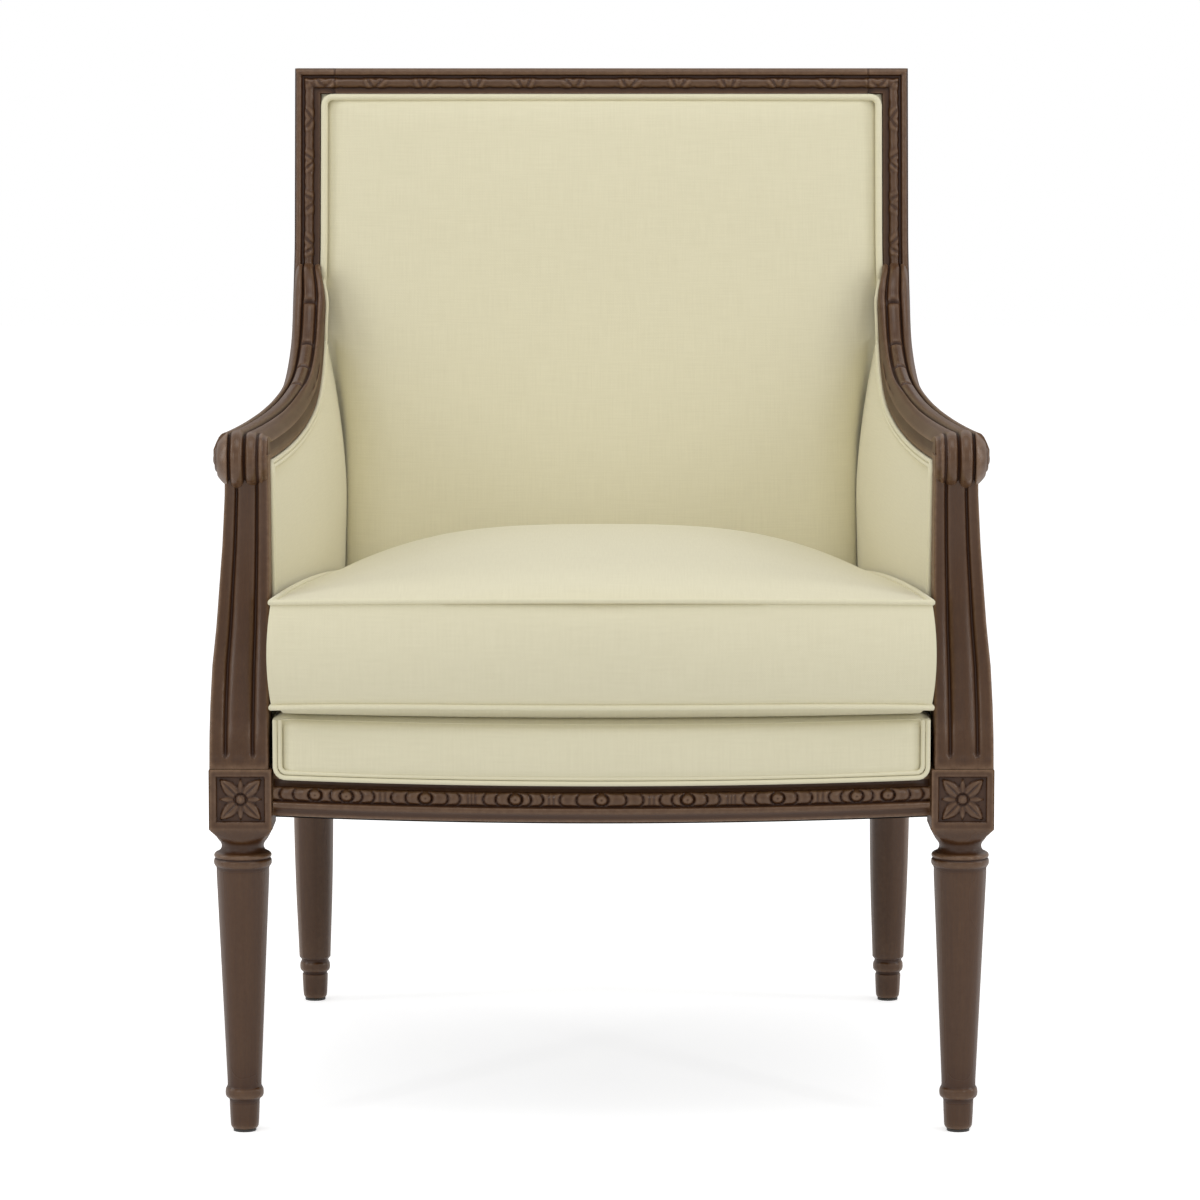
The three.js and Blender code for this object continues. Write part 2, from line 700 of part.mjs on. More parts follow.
// Front rail: bowed show-wood below, set back above for the cloth band
function frontRail() {
  const layer = (setback, low, high) => {
    const outer = [];
    const inner = [];
    for (let i = 0; i <= FRONT_BOW_STEPS; i += 1) {
      const x = lerp(-1, 1, i / FRONT_BOW_STEPS) * (BLOCK_INNER - FIT);
      outer.push([x, bowLine(x, -setback)]);
      inner.unshift([x, bowLine(x, -RAIL_THICKNESS)]);
    }
    return planPrism([...outer, ...inner], low, high);
  };
  const tenons = [-1, 1].map((side) =>
    crossTenon(side, BLOCK_INNER, FRONT_TENON_PLACE, TENON_LOW, TENON_HIGH),
  );
  const showWood = layer(0, RAIL_BOTTOM, SHOW_TOP);
  const rail = joined(showWood, layer(COVER_REBATE, SHOW_TOP, RAIL_TOP), ...tenons);
  return cutFrom(rail, ...[-1, 1].map((side) => screwHole(frontScrew(side))));
}

// Side rail with a tenon into the front block and one into the back post
function sideRail(side) {
  const [front, back] = [BLOCK_SIZE / 2 + FIT, POST_FRONT - FIT];
  const layer = (setback, low, high) =>
    planPrism(
      [
        [side * (outerLine(front) - setback), front],
        [side * (outerLine(back) - setback), back],
        [side * frameLine(back), back],
        [side * frameLine(front), front],
      ],
      low,
      high,
    );
  const rail = joined(
    layer(0, RAIL_BOTTOM, SHOW_TOP),
    layer(COVER_REBATE, SHOW_TOP, RAIL_TOP),
    longTenon(side, BLOCK_SIZE / 2, -1),
    longTenon(side, POST_FRONT, 1),
  );
  return cutFrom(rail, screwHole(frontSideScrew(side)), screwHole(backSideScrew(side)));
}

const BACK_RAIL_FRONT = POST_BACK - RAIL_REVEAL - RAIL_THICKNESS;

function backRail() {
  const half = POST_INNER - FIT;
  const back = POST_BACK - RAIL_REVEAL;
  const rail = joined(
    block([-half, BACK_RAIL_FRONT, RAIL_BOTTOM], [half, back, SHOW_TOP]),
    block([-half, BACK_RAIL_FRONT, SHOW_TOP], [half, back - COVER_REBATE, RAIL_TOP]),
    ...[-1, 1].map((side) => crossTenon(side, POST_INNER, BACK_TENON_PLACE, TENON_LOW, TENON_HIGH)),
  );
  return cutFrom(rail, ...[-1, 1].map((side) => screwHole(backScrew(side))));
}

function topRailTenon(side, grow) {
  const low = TOP_RAIL_BOTTOM - TOP_RAIL_TACKING_HEIGHT + TENON_SHOULDER;
  const high = OVERALL_HEIGHT - 2 * TENON_SHOULDER;
  return crossTenon(side, POST_INNER, LEG_DEPTH_SPACING, low, high, grow);
}

// Top rail: show-wood above, a thinner tacking strip below
function topRail() {
  const half = POST_INNER - FIT;
  const rail = joined(
    block([-half, POST_FRONT, TOP_RAIL_BOTTOM], [half, POST_BACK, OVERALL_HEIGHT]),
    block(
      [-half, POST_FRONT + FRONT_REBATE, TOP_RAIL_BOTTOM - TOP_RAIL_TACKING_HEIGHT],
      [half, POST_BACK - BACK_REBATE, TOP_RAIL_BOTTOM],
    ),
    topRailTenon(-1, 0),
    topRailTenon(1, 0),
  );
  return leaned(rail);
}

const STAY_RAIL_PLACE = POST_FRONT + FRONT_REBATE + OVERRUN + STAY_RAIL_THICKNESS / 2;

function stayRailTenon(side, grow) {
  const low = STAY_RAIL_BOTTOM + TENON_SHOULDER;
  const high = STAY_RAIL_BOTTOM + STAY_RAIL_HEIGHT - TENON_SHOULDER;
  return crossTenon(side, POST_INNER, STAY_RAIL_PLACE, low, high, grow);
}

// Lower rail of the back frame, behind the foot of the back pad
function stayRail() {
  const half = POST_INNER - FIT;
  const rail = block(
    [-half, STAY_RAIL_PLACE - STAY_RAIL_THICKNESS / 2, STAY_RAIL_BOTTOM],
    [half, STAY_RAIL_PLACE + STAY_RAIL_THICKNESS / 2, STAY_RAIL_BOTTOM + STAY_RAIL_HEIGHT],
  );
  return leaned(joined(rail, stayRailTenon(-1, 0), stayRailTenon(1, 0)));
}

// Tacking rail of the arm, between the stump and the post
function armSlat(side) {
  const low = RAIL_TOP + SLAT_LIFT;
  const high = low + SLAT_HEIGHT;
  const front = readCourse(STUMP_COURSE, "z", "back", high) + FIT;
  const back = stileFront(low) - FIT;
  const outer = (y) => outerLine(y) - OUTSIDE_PANEL_THICKNESS - SOFT_GAP;
  return planPrism(
    [
      [side * outer(front), front],
      [side * outer(back), back],
      [side * (outer(back) - SLAT_THICKNESS), back],
      [side * (outer(front) - SLAT_THICKNESS), front],
    ],
    low,
    high,
  );
}

// Screw set: place of the head's seat and the direction from its tip to its head
const SCREW_HEIGHT = RAIL_BOTTOM + CORNER_BLOCK_LIFT + CORNER_BLOCK_HEIGHT / 2;
const FRONT_BLOCK_END = BLOCK_SIZE / 2 + CORNER_BLOCK_REACH;
const BACK_BLOCK_END = POST_FRONT - CORNER_BLOCK_REACH;

function frontScrew(side) {
  const x = BLOCK_INNER - CORNER_BLOCK_REACH / 2;
  return {
    seat: [side * x, bowLine(x, -RAIL_THICKNESS) + SCREW_GRIP, SCREW_HEIGHT],
    outwards: [0, 1, 0],
  };
}

function backScrew(side) {
  const x = POST_INNER - CORNER_BLOCK_REACH / 2;
  return { seat: [side * x, BACK_RAIL_FRONT - SCREW_GRIP, SCREW_HEIGHT], outwards: [0, -1, 0] };
}

function sideScrew(side, y) {
  return { seat: [side * (frameLine(y) - SCREW_GRIP), y, SCREW_HEIGHT], outwards: [-side, 0, 0] };
}

function frontSideScrew(side) {
  return sideScrew(side, BLOCK_SIZE / 2 + CORNER_BLOCK_REACH / 2);
}

function backSideScrew(side) {
  return sideScrew(side, POST_FRONT - CORNER_BLOCK_REACH / 2);
}

// Turns a piece made along +Z to a screw's direction and sets it at its seat
function setAt(geometry, { seat, outwards }) {
  const turn = new THREE.Quaternion().setFromUnitVectors(
    new THREE.Vector3(0, 0, 1),
    new THREE.Vector3(...outwards),
  );
  return geometry.applyQuaternion(turn).translate(...seat);
}

function screw(place) {
  const profile = [
    [0, -SCREW_LENGTH],
    [SCREW_RADIUS, SCREW_TIP - SCREW_LENGTH],
    [SCREW_RADIUS, FIT],
    [SCREW_HEAD_RADIUS, FIT],
    [SCREW_HEAD_RADIUS, SCREW_HEAD_HEIGHT],
    [0, SCREW_HEAD_HEIGHT],
  ];
  return setAt(turned(profile, SCREW_SEGMENTS), place);
}

// Hole for the shank, and above the seat the wider hole for the head
function screwHole(place) {
  const shank = rod(SCREW_RADIUS + FIT, -SCREW_LENGTH - FIT, OVERRUN, SCREW_SEGMENTS);
  const head = rod(SCREW_HEAD_RADIUS + 2 * FIT, 0, CORNER_BLOCK_REACH, SCREW_SEGMENTS);
  return setAt(joined(shank, head), place);
}

// Corner block glued and screwed between two rails, in front
function frontCornerBlock(side) {
  const half = BLOCK_SIZE / 2 + FIT;
  const rim = (x) => [side * x, bowLine(x, -RAIL_THICKNESS) + 2 * FIT];
  const points = [
    rim(BLOCK_INNER - FIT),
    rim(BLOCK_INNER - CORNER_BLOCK_REACH / 2),
    rim(BLOCK_INNER - CORNER_BLOCK_REACH),
    [side * (frameLine(FRONT_BLOCK_END) - FIT), FRONT_BLOCK_END],
    [side * (frameLine(half) - FIT), half],
    [side * (BLOCK_INNER - FIT), half],
  ];
  return cornerBlock(points, [frontScrew(side), frontSideScrew(side)]);
}

function backCornerBlock(side) {
  const near = POST_FRONT - FIT;
  const points = [
    [side * (frameLine(BACK_BLOCK_END) - FIT), BACK_BLOCK_END],
    [side * (frameLine(near) - FIT), near],
    [side * (POST_INNER - FIT), near],
    [side * (POST_INNER - FIT), BACK_RAIL_FRONT - FIT],
    [side * (POST_INNER - CORNER_BLOCK_REACH), BACK_RAIL_FRONT - FIT],
  ];
  return cornerBlock(points, [backScrew(side), backSideScrew(side)]);
}

function cornerBlock(points, screws) {
  const low = RAIL_BOTTOM + CORNER_BLOCK_LIFT;
  return cutFrom(planPrism(points, low, low + CORNER_BLOCK_HEIGHT), ...screws.map(screwHole));
}

// Glide: disc under the foot with a pin into the leg
function glide(x, y) {
  const profile = [
    [0, 0],
    [GLIDE_RADIUS, 0],
    [GLIDE_RADIUS, GLIDE_THICKNESS],
    [GLIDE_PIN_RADIUS, GLIDE_THICKNESS],
    [GLIDE_PIN_RADIUS, GLIDE_THICKNESS + GLIDE_PIN_LENGTH],
    [0, GLIDE_THICKNESS + GLIDE_PIN_LENGTH],
  ];
  return turned(profile, TURNING_SEGMENTS).translate(x, y, 0);
}

// Webbing strap across the seat, tacked on the side rails
function crossStrap(place) {
  const y = LEG_DEPTH_SPACING / 2 + place * CROSS_STRAP_SPACING;
  const half = frameLine(y + WEBBING_WIDTH / 2) + WEBBING_LAP;
  const low = RAIL_TOP + FIT;
  return block(
    [-half, y - WEBBING_WIDTH / 2, low],
    [half, y + WEBBING_WIDTH / 2, low + WEBBING_THICKNESS],
  );
}

// Webbing strap from the front rail to the back rail, over the cross straps
function longStrap(place) {
  const x = place * LONG_STRAP_SPACING;
  const half = WEBBING_WIDTH / 2;
  const low = RAIL_TOP + WEBBING_THICKNESS + 2 * FIT;
  const front = bowLine(Math.abs(x) + half, -RAIL_THICKNESS) - WEBBING_LAP;
  const back = BACK_RAIL_FRONT + WEBBING_LAP;
  return block([x - half, front, low], [x + half, back, low + WEBBING_THICKNESS]);
}

// Dust cover tacked under the rails, notched round the legs
function dustCover() {
  const front = [];
  const reach = BLOCK_INNER - OVERRUN;
  for (let i = 0; i <= FRONT_BOW_STEPS; i += 1) {
    const x = lerp(-1, 1, i / FRONT_BOW_STEPS) * reach;
    front.push([x, bowLine(x, -DUST_COVER_INSET)]);
  }
  const notchFront = BLOCK_SIZE / 2 + OVERRUN;
  const notchBack = POST_FRONT - OVERRUN;
  const right = [
    [reach, notchFront],
    [outerLine(notchFront) - DUST_COVER_INSET, notchFront],
    [outerLine(notchBack) - DUST_COVER_INSET, notchBack],
    [POST_INNER - OVERRUN, notchBack],
    [POST_INNER - OVERRUN, POST_BACK - DUST_COVER_INSET],
  ];
  const left = right.map(([x, y]) => [-x, y]).reverse();
  const top = RAIL_BOTTOM - FIT;
  return planPrism([...front, ...right, ...left], top - DUST_COVER_THICKNESS, top);
}

// Deck pad: firm padding over the webbing, under the cushion
function deckPad() {
  const place = (u, v, w) => {
    const back = POST_FRONT - OVERRUN;
    const x = (y) => u * (padLine(y) - SOFT_GAP - ARM_PAD_CROWN);
    const front = bowLine(x(0), -COVER_REBATE) + 2 * SOFT_GAP;
    const y = lerp(front, back, (v + 1) / 2);
    return [x(Math.max(y, BLOCK_SIZE / 2)), y, w < 0 ? DECK_BOTTOM : DECK_TOP];
  };
  return softForm(FRONT_BOW_STEPS, DECK_ROWS, 1, place);
}

// Cloth band on the front rail, under the cushion
const BAND_HALF_WIDTH = BLOCK_INNER - 2 * WELT_RADIUS - 2 * SOFT_GAP;

function bandPlace(u, v, w) {
  const x = u * BAND_HALF_WIDTH;
  const z = lerp(SHOW_TOP + SOFT_GAP, DECK_TOP - SOFT_GAP, (v + 1) / 2);
  const crown = BAND_CROWN * (1 - u ** BAND_CROWN_POWER) * (1 - v * v);
  const back = bowLine(x, -COVER_REBATE) - SOFT_GAP;
  return [x, w < 0 ? back : back - BAND_THICKNESS - crown, z];
}

function frontBand() {
  return softForm(FRONT_BOW_STEPS, BAND_ROWS, 1, bandPlace);
}

// Welt down one side of the band, along its foot and up the other side
function bandWelt() {
  const sides = gridShares(1, BAND_ROWS, BAND_ROWS);
  const foot = gridShares(0, FRONT_BOW_STEPS, FRONT_BOW_STEPS);
  const stations = [
    ...sides.toReversed().map((v) => [-1, v, 1, [-1, -1, 0]]),
    ...foot.map((u) => [u, -1, 1, [signAtEdge(u), -1, -1]]),
    ...sides.map((v) => [1, v, 1, [1, -1, 0]]),
  ];
  return weltAlong(seam(bandPlace, stations));
}

// Back pad: front face at a distance from the middle and a height, before it leans
const BACK_PAD_BOTTOM = DECK_TOP + SOFT_GAP;
const BACK_PAD_TOP = TOP_RAIL_BOTTOM - SOFT_GAP;
const BACK_PAD_HALF_WIDTH = SHOW_WOOD_INNER - SOFT_GAP;

function backPadProud(x, z) {
  const u = clamp(x / BACK_PAD_HALF_WIDTH, -1, 1);
  const v = clamp(mapLinear(z, BACK_PAD_BOTTOM, BACK_PAD_TOP, -1, 1), -1, 1);
  const rise = THREE.MathUtils.smoothstep(z, BACK_PAD_BOTTOM, ARM_TOP_HEIGHT);
  const edge = lerp(BACK_PAD_FOOT_PROUD, BACK_PAD_TOP_PROUD, rise);
  return edge + BACK_PAD_CROWN * (1 - u * u) ** BACK_PAD_CROWN_POWER * (1 - v * v);
}

function backPadFront(x, z) {
  return stileFront(z) - backPadProud(x, z);
}

function backPadPlace(u, v, w) {
  const x = u * BACK_PAD_HALF_WIDTH;
  const z = lerp(BACK_PAD_BOTTOM, BACK_PAD_TOP, (v + 1) / 2);
  return [x, w < 0 ? stileFront(z) + FRONT_REBATE - SOFT_GAP : backPadFront(x, z), z];
}

// Inside back pad, notched where the arms meet the stiles
function insideBackPad() {
  const low = ARM_JOINT_BOTTOM - ARM_JOINT_HEIGHT;
  const notches = [-1, 1].map((side) =>
    leaned(
      block(
        [side * (ARM_BACK_INNER - SOFT_GAP), POST_FRONT - BACK_LEAN, low],
        [side * POST_OUTER, POST_FRONT + FIT, ARM_TOP_HEIGHT + SOFT_GAP],
      ),
    ),
  );
  return cutFrom(softForm(BACK_PAD_ACROSS, BACK_PAD_UP, 1, backPadPlace), ...notches);
}

// Welt up one edge of the back pad from the arm, across its top and down to the other arm
function insideBackWelt() {
  const clear = ARM_TOP_HEIGHT + 2 * WELT_RADIUS;
  const start = Math.ceil(mapLinear(clear, BACK_PAD_BOTTOM, BACK_PAD_TOP, 0, BACK_PAD_UP));
  const sides = gridShares(start, BACK_PAD_UP - 1, BACK_PAD_UP);
  const top = gridShares(0, BACK_PAD_ACROSS, BACK_PAD_ACROSS);
  const forwards = [0, -Math.SQRT2, 0];
  const stations = [
    ...sides.map((v) => [-1, v, 1, forwards]),
    ...top.map((u) => [u, 1, 1, forwards]),
    ...sides.toReversed().map((v) => [1, v, 1, forwards]),
  ];
  return weltAlong(seam(backPadPlace, stations));
}

// Outside back panel and its welt
function outsideBackPlace(u, v, w) {
  const row = Math.round(((v + 1) * OUTSIDE_BACK_ROWS) / 2);
  const z =
    row === 0
      ? SHOW_TOP + SOFT_GAP
      : mapLinear(row, 1, OUTSIDE_BACK_ROWS, RAIL_TOP, TOP_RAIL_BOTTOM - SOFT_GAP);
  const x = u * BACK_PAD_HALF_WIDTH;
  const inner = POST_BACK - BACK_REBATE + SOFT_GAP;
  const outer = inner + OUTSIDE_PANEL_THICKNESS + OUTSIDE_PANEL_CROWN * (1 - u * u) * (1 - v * v);
  return [x, (w < 0 ? inner : outer) + leanAt(z), z];
}

function outsideBackPanel() {
  return softForm(OUTSIDE_BACK_ROWS, OUTSIDE_BACK_ROWS, 1, outsideBackPlace);
}

// Round the edge of a form's face, with a small gap where the cord is joined
function loopShares(across, along) {
  const middle = across / 2;
  return [
    [WELT_JOIN_SHARE, 1],
    ...gridShares(middle + 1, across, across).map((u) => [u, 1]),
    ...gridShares(along - 1, 0, along).map((v) => [1, v]),
    ...gridShares(across - 1, 0, across).map((u) => [u, -1]),
    ...gridShares(1, along, along).map((v) => [-1, v]),
    ...gridShares(1, middle - 1, across).map((u) => [u, 1]),
    [-WELT_JOIN_SHARE, 1],
  ];
}

function outsideBackWelt() {
  const backwards = [0, Math.SQRT2, 0];
  const loop = loopShares(OUTSIDE_BACK_ROWS, OUTSIDE_BACK_ROWS);
  return weltAlong(seam(outsideBackPlace, loop.map(([u, v]) => [u, v, 1, backwards])));
}

// Stations under the arm, from behind the stump to an end place: places in side view
function underArmStations(endAt) {
  const inside = ARM_UNDERSIDE.filter((p) => p.y > PAD_START + OVERRUN && p.y < endAt(p.z) - OVERRUN);
  const last = inside[inside.length - 1];
  const beyond = ARM_UNDERSIDE[ARM_UNDERSIDE.indexOf(last) + 1];
  let share = 1;
  for (let i = 0; i < MEETING_ROUNDS; i += 1) {
    const z = lerp(last.z, beyond.z, share);
    share = clamp((endAt(z) - last.y) / (beyond.y - last.y), 0, 1);
  }
  const end = { y: lerp(last.y, beyond.y, share), z: lerp(last.z, beyond.z, share) };
  return [{ y: PAD_START, z: armUnder(PAD_START) }, ...inside, end];
}

// Flat form under the arm: fills side view from a foot height up to the arm's underside
function underArmPlace(stations, foot, endAt, faces) {
  return (u, v, w) => {
    const i = Math.round(((u + 1) * (stations.length - 1)) / 2);
    const { y: topPlace, z: under } = stations[i];
    const share = (topPlace - PAD_START) / (endAt(under) - PAD_START);
    const z = lerp(foot, under - 2 * SOFT_GAP, (v + 1) / 2);
    const y = lerp(PAD_START, endAt(z), share);
    return [faces(y, topPlace, u, v, w), y, z];
  };
}

// Inside arm pad, between the stump, the arm, the deck and the back pad.
// Its shoulder runs out to the arm.
const padEnd = (z) => backPadFront(padLine(POST_FRONT), z) - 2 * SOFT_GAP;
const PAD_STATIONS = underArmStations(padEnd);

function armPadPlace(side) {
  return underArmPlace(PAD_STATIONS, DECK_BOTTOM, padEnd, (y, topPlace, u, v, w) => {
    const crown = ARM_PAD_CROWN * (1 - u * u) * (1 - v * v);
    const shoulder = clamp((v - ARM_PAD_SHOULDER_SHARE) / (1 - ARM_PAD_SHOULDER_SHARE), 0, 1);
    const face = lerp(padLine(y), Math.max(armInner(topPlace), padLine(y)), shoulder ** 2);
    return side * (w < 0 ? frameLine(y) - SOFT_GAP : face - crown);
  });
}

function insideArmPad(side) {
  return softForm(PAD_STATIONS.length - 1, ARM_PAD_ROWS, 1, armPadPlace(side));
}

// Welt on the pad's upper edge, below the arm
function armWelt(side) {
  const last = PAD_STATIONS.length - 1;
  const inwards = [-side * Math.SQRT2, 0, 0];
  const stations = gridShares(0, last - 1, last).map((u, i) => {
    const drop = (WELT_RADIUS + SOFT_GAP) / (PAD_STATIONS[i].z - DECK_BOTTOM);
    return [u, 1 - 2 * drop, 1, inwards];
  });
  return weltAlong(seam(armPadPlace(side), stations));
}

// Outside arm panel, flush with the side rail
const panelEnd = (z) => POST_FRONT + leanLine(z) - 2 * SOFT_GAP;
const PANEL_STATIONS = underArmStations(panelEnd);

function outsideArmPanel(side) {
  const place = underArmPlace(PANEL_STATIONS, SHOW_TOP + SOFT_GAP, panelEnd, (y, topPlace, u, v, w) => {
    const outer = outerLine(y) + OUTSIDE_PANEL_CROWN * (1 - u * u) * (1 - v * v);
    return side * (w < 0 ? outerLine(y) - OUTSIDE_PANEL_THICKNESS : outer);
  });
  return softForm(PANEL_STATIONS.length - 1, OUTSIDE_ARM_ROWS, 1, place);
}

// Seat cushion: boxed, crowned above, its front bowed like the rail
const CUSHION_BOTTOM = DECK_TOP + SOFT_GAP;
const CUSHION_LOWER_SEAM = CUSHION_BOTTOM + CUSHION_EDGE_LIFT;
const CUSHION_FRONT = -BLOCK_SIZE / 2 - CUSHION_OVERHANG;
const CUSHION_BACK =
  Math.min(backPadFront(0, CUSHION_BOTTOM), backPadFront(0, CUSHION_LOWER_SEAM + CUSHION_BOXING)) -
  3 * WELT_RADIUS;

function cushionPlace(u, v, w) {
  const share = (v + 1) / 2;
  const frontHalf = BLOCK_INNER - SOFT_GAP;
  const backHalf = padLine(CUSHION_BACK) - ARM_PAD_CROWN - 2 * WELT_RADIUS;
  const drawIn = CUSHION_DRAW_IN * (1 - v * v);
  const x = u * (lerp(frontHalf, backHalf, share) - drawIn);
  const front = CUSHION_FRONT - CUSHION_FRONT_BOW * (1 - u * u) - CUSHION_BULGE * (1 - w * w) * (v < 0);
  const y = lerp(front, CUSHION_BACK, share);
  const inner = (1 - u * u) * (1 - v * v);
  const seamHeight = CUSHION_LOWER_SEAM + CUSHION_BOXING + CUSHION_SEAM_RISE * (1 - u * u);
  const top = seamHeight + CUSHION_CROWN * inner;
  const bottom = inner === 0 ? CUSHION_LOWER_SEAM : CUSHION_BOTTOM;
  return [x, y, lerp(bottom, top, (w + 1) / 2)];
}

function seatCushion() {
  return softForm(CUSHION_ACROSS, CUSHION_ALONG, CUSHION_ROWS, cushionPlace);
}

function cushionWelt(w) {
  const loop = loopShares(CUSHION_ACROSS, CUSHION_ALONG);
  const stations = loop.map(([u, v]) => [u, v, w, [signAtEdge(u), signAtEdge(v), w]]);
  return weltAlong(seam(cushionPlace, stations));
}

// Materials
const wood = new THREE.MeshStandardMaterial({ color: 0x4e3a2e, roughness: 0.42, metalness: 0 });
const frameWood = new THREE.MeshStandardMaterial({ color: 0xc9a77a, roughness: 0.7, metalness: 0 });
const cloth = new THREE.MeshStandardMaterial({ color: 0xdad5b6, roughness: 0.92, metalness: 0 });
const lining = new THREE.MeshStandardMaterial({ color: 0x1d1c1b, roughness: 0.95, metalness: 0 });
const jute = new THREE.MeshStandardMaterial({ color: 0xa88c62, roughness: 0.95, metalness: 0 });
const steel = new THREE.MeshStandardMaterial({ color: 0x9a9a96, roughness: 0.35, metalness: 1 });
const plastic = new THREE.MeshStandardMaterial({ color: 0x2a2623, roughness: 0.5, metalness: 0 });

const chair = new THREE.Group();

// Each piece passes through a solid, so that mirrored forms face outwards too
function add(name, geometry, material) {
  const mesh = new THREE.Mesh(geometryOf(solid(geometry)), material);
  mesh.name = name;
  chair.add(mesh);
}

for (const [hand, side] of [["left", -1], ["right", 1]]) {
  const frontX = (side * FRONT_LEG_SPACING) / 2;
  const backX = (side * BACK_LEG_SPACING) / 2;
  add("front_leg_" + hand, frontLeg(side), wood);
  add("arm_stump_" + hand, armStump(side), wood);
  add("arm_" + hand, arm(side), wood);
  add("back_post_" + hand, backPost(side), wood);
  add("side_rail_" + hand, sideRail(side), wood);
  add("arm_slat_" + hand, armSlat(side), frameWood);
  add("front_corner_block_" + hand, frontCornerBlock(side), frameWood);
  add("back_corner_block_" + hand, backCornerBlock(side), frameWood);
  add("front_rail_screw_" + hand, screw(frontScrew(side)), steel);
  add("front_side_screw_" + hand, screw(frontSideScrew(side)), steel);
  add("back_rail_screw_" + hand, screw(backScrew(side)), steel);
  add("back_side_screw_" + hand, screw(backSideScrew(side)), steel);
  add("front_glide_" + hand, glide(frontX, 0), plastic);
  add("back_glide_" + hand, glide(backX, LEG_DEPTH_SPACING + BACK_FOOT_RAKE), plastic);
  add("inside_arm_pad_" + hand, insideArmPad(side), cloth);
  add("inside_arm_welt_" + hand, armWelt(side), cloth);
  add("outside_arm_panel_" + hand, outsideArmPanel(side), cloth);
}

add("front_rail", frontRail(), wood);
add("back_rail", backRail(), wood);
add("top_rail", topRail(), wood);
add("stay_rail", stayRail(), frameWood);
for (let i = 0; i < CROSS_STRAPS; i += 1) {
  add("cross_strap_" + (i + 1), crossStrap(i - (CROSS_STRAPS - 1) / 2), jute);
}
for (let i = 0; i < LONG_STRAPS; i += 1) {
  add("long_strap_" + (i + 1), longStrap(i - (LONG_STRAPS - 1) / 2), jute);
}
add("dust_cover", dustCover(), lining);
add("deck_pad", deckPad(), cloth);
add("front_band", frontBand(), cloth);
add("front_band_welt", bandWelt(), cloth);
add("inside_back_pad", insideBackPad(), cloth);
add("inside_back_welt", insideBackWelt(), cloth);
add("outside_back_panel", outsideBackPanel(), cloth);
add("outside_back_welt", outsideBackWelt(), cloth);
add("seat_cushion", seatCushion(), cloth);
add("cushion_upper_welt", cushionWelt(1), cloth);
add("cushion_lower_welt", cushionWelt(-1), cloth);

// The origin is at the floor, in the middle of the object's box
const box = new THREE.Box3().setFromObject(chair);
chair.position.y = -(box.min.y + box.max.y) / 2;

export default chair;
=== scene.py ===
"""Carved armchair with a closed arm and a loose box cushion, dressed over its packed frame."""

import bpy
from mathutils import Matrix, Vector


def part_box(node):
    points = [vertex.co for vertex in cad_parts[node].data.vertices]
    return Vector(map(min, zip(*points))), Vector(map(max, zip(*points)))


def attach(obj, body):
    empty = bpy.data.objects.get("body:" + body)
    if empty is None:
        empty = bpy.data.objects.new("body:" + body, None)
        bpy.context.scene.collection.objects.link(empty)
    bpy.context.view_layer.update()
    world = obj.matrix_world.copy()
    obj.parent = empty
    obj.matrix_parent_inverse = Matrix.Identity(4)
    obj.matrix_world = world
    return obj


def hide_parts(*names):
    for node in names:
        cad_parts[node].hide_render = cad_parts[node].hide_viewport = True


bl_info = {
    "name": "Fauteuil",
    "version": (1, 0, 0),
    "blender": (4, 5, 0),
    "location": "3D View > Sidebar > Fauteuil",
    "description": "Carved show-wood armchair with closed arms and a loose box cushion",
    "category": "Object",
}

import math

import bmesh
import bpy
import numpy as np
from bpy.props import FloatProperty, FloatVectorProperty, IntProperty, PointerProperty
from mathutils import Vector

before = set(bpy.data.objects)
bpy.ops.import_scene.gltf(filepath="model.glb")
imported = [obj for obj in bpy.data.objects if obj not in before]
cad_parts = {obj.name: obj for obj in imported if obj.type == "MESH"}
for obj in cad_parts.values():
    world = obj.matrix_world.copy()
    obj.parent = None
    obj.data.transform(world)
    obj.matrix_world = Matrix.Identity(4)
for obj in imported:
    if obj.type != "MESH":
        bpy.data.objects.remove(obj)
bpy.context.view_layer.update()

MM = 0.001
# Points nearer than this are one point, in millimetres.
WELD = 0.004
QUARTER = math.pi / 2
SIDES = (("left", -1), ("right", 1))


def middle(node):
    low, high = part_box(node)
    return (low + high) / 2


# The forms are drawn in millimetres, with y at 0 between the front legs.
FRONT_FOOT = middle("front_glide_right")
BACK_FOOT = middle("back_glide_right")
SEAT_PLACE = FRONT_FOOT.y
FRONT_X = FRONT_FOOT.x / MM
BACK_X = BACK_FOOT.x / MM
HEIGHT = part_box("back_post_right")[1].z / MM

# Sizes of the frame, which the pieces share
BLOCK_HALF = 27.5
BLOCK_BOTTOM = 270.0
BLOCK_TOP = 322.0
BLOCK_INNER = 284.5
RAIL_BOTTOM = 281.0
SHOW_TOP = 313.0
RAIL_TOP = 350.0
RAIL_THICKNESS = 28.0
RAIL_FACE = -25.5
RAIL_BOW = 40.0
COVER_REBATE = 7.0
POST_FRONT = 580.0
POST_BACK = 620.0
POST_INNER = 264.5
POST_OUTER = 303.5
SHOW_WOOD = 24.5
FRONT_REBATE = 10.0
BACK_REBATE = 6.0
BACK_LEAN = 85.0
FOOT_RAKE = 20.0
TACKING = 24.0
STUMP_INNER = 287.5
ARM_TOP = 729.6
ARM_THICKNESS = 27.0
SCROLL_RADIUS = 25.5
SCROLL_PLACE = (10.0, 588.0)
DECK_BOTTOM = 354.2
DECK_TOP = 370.2
PAD_START = 36.1

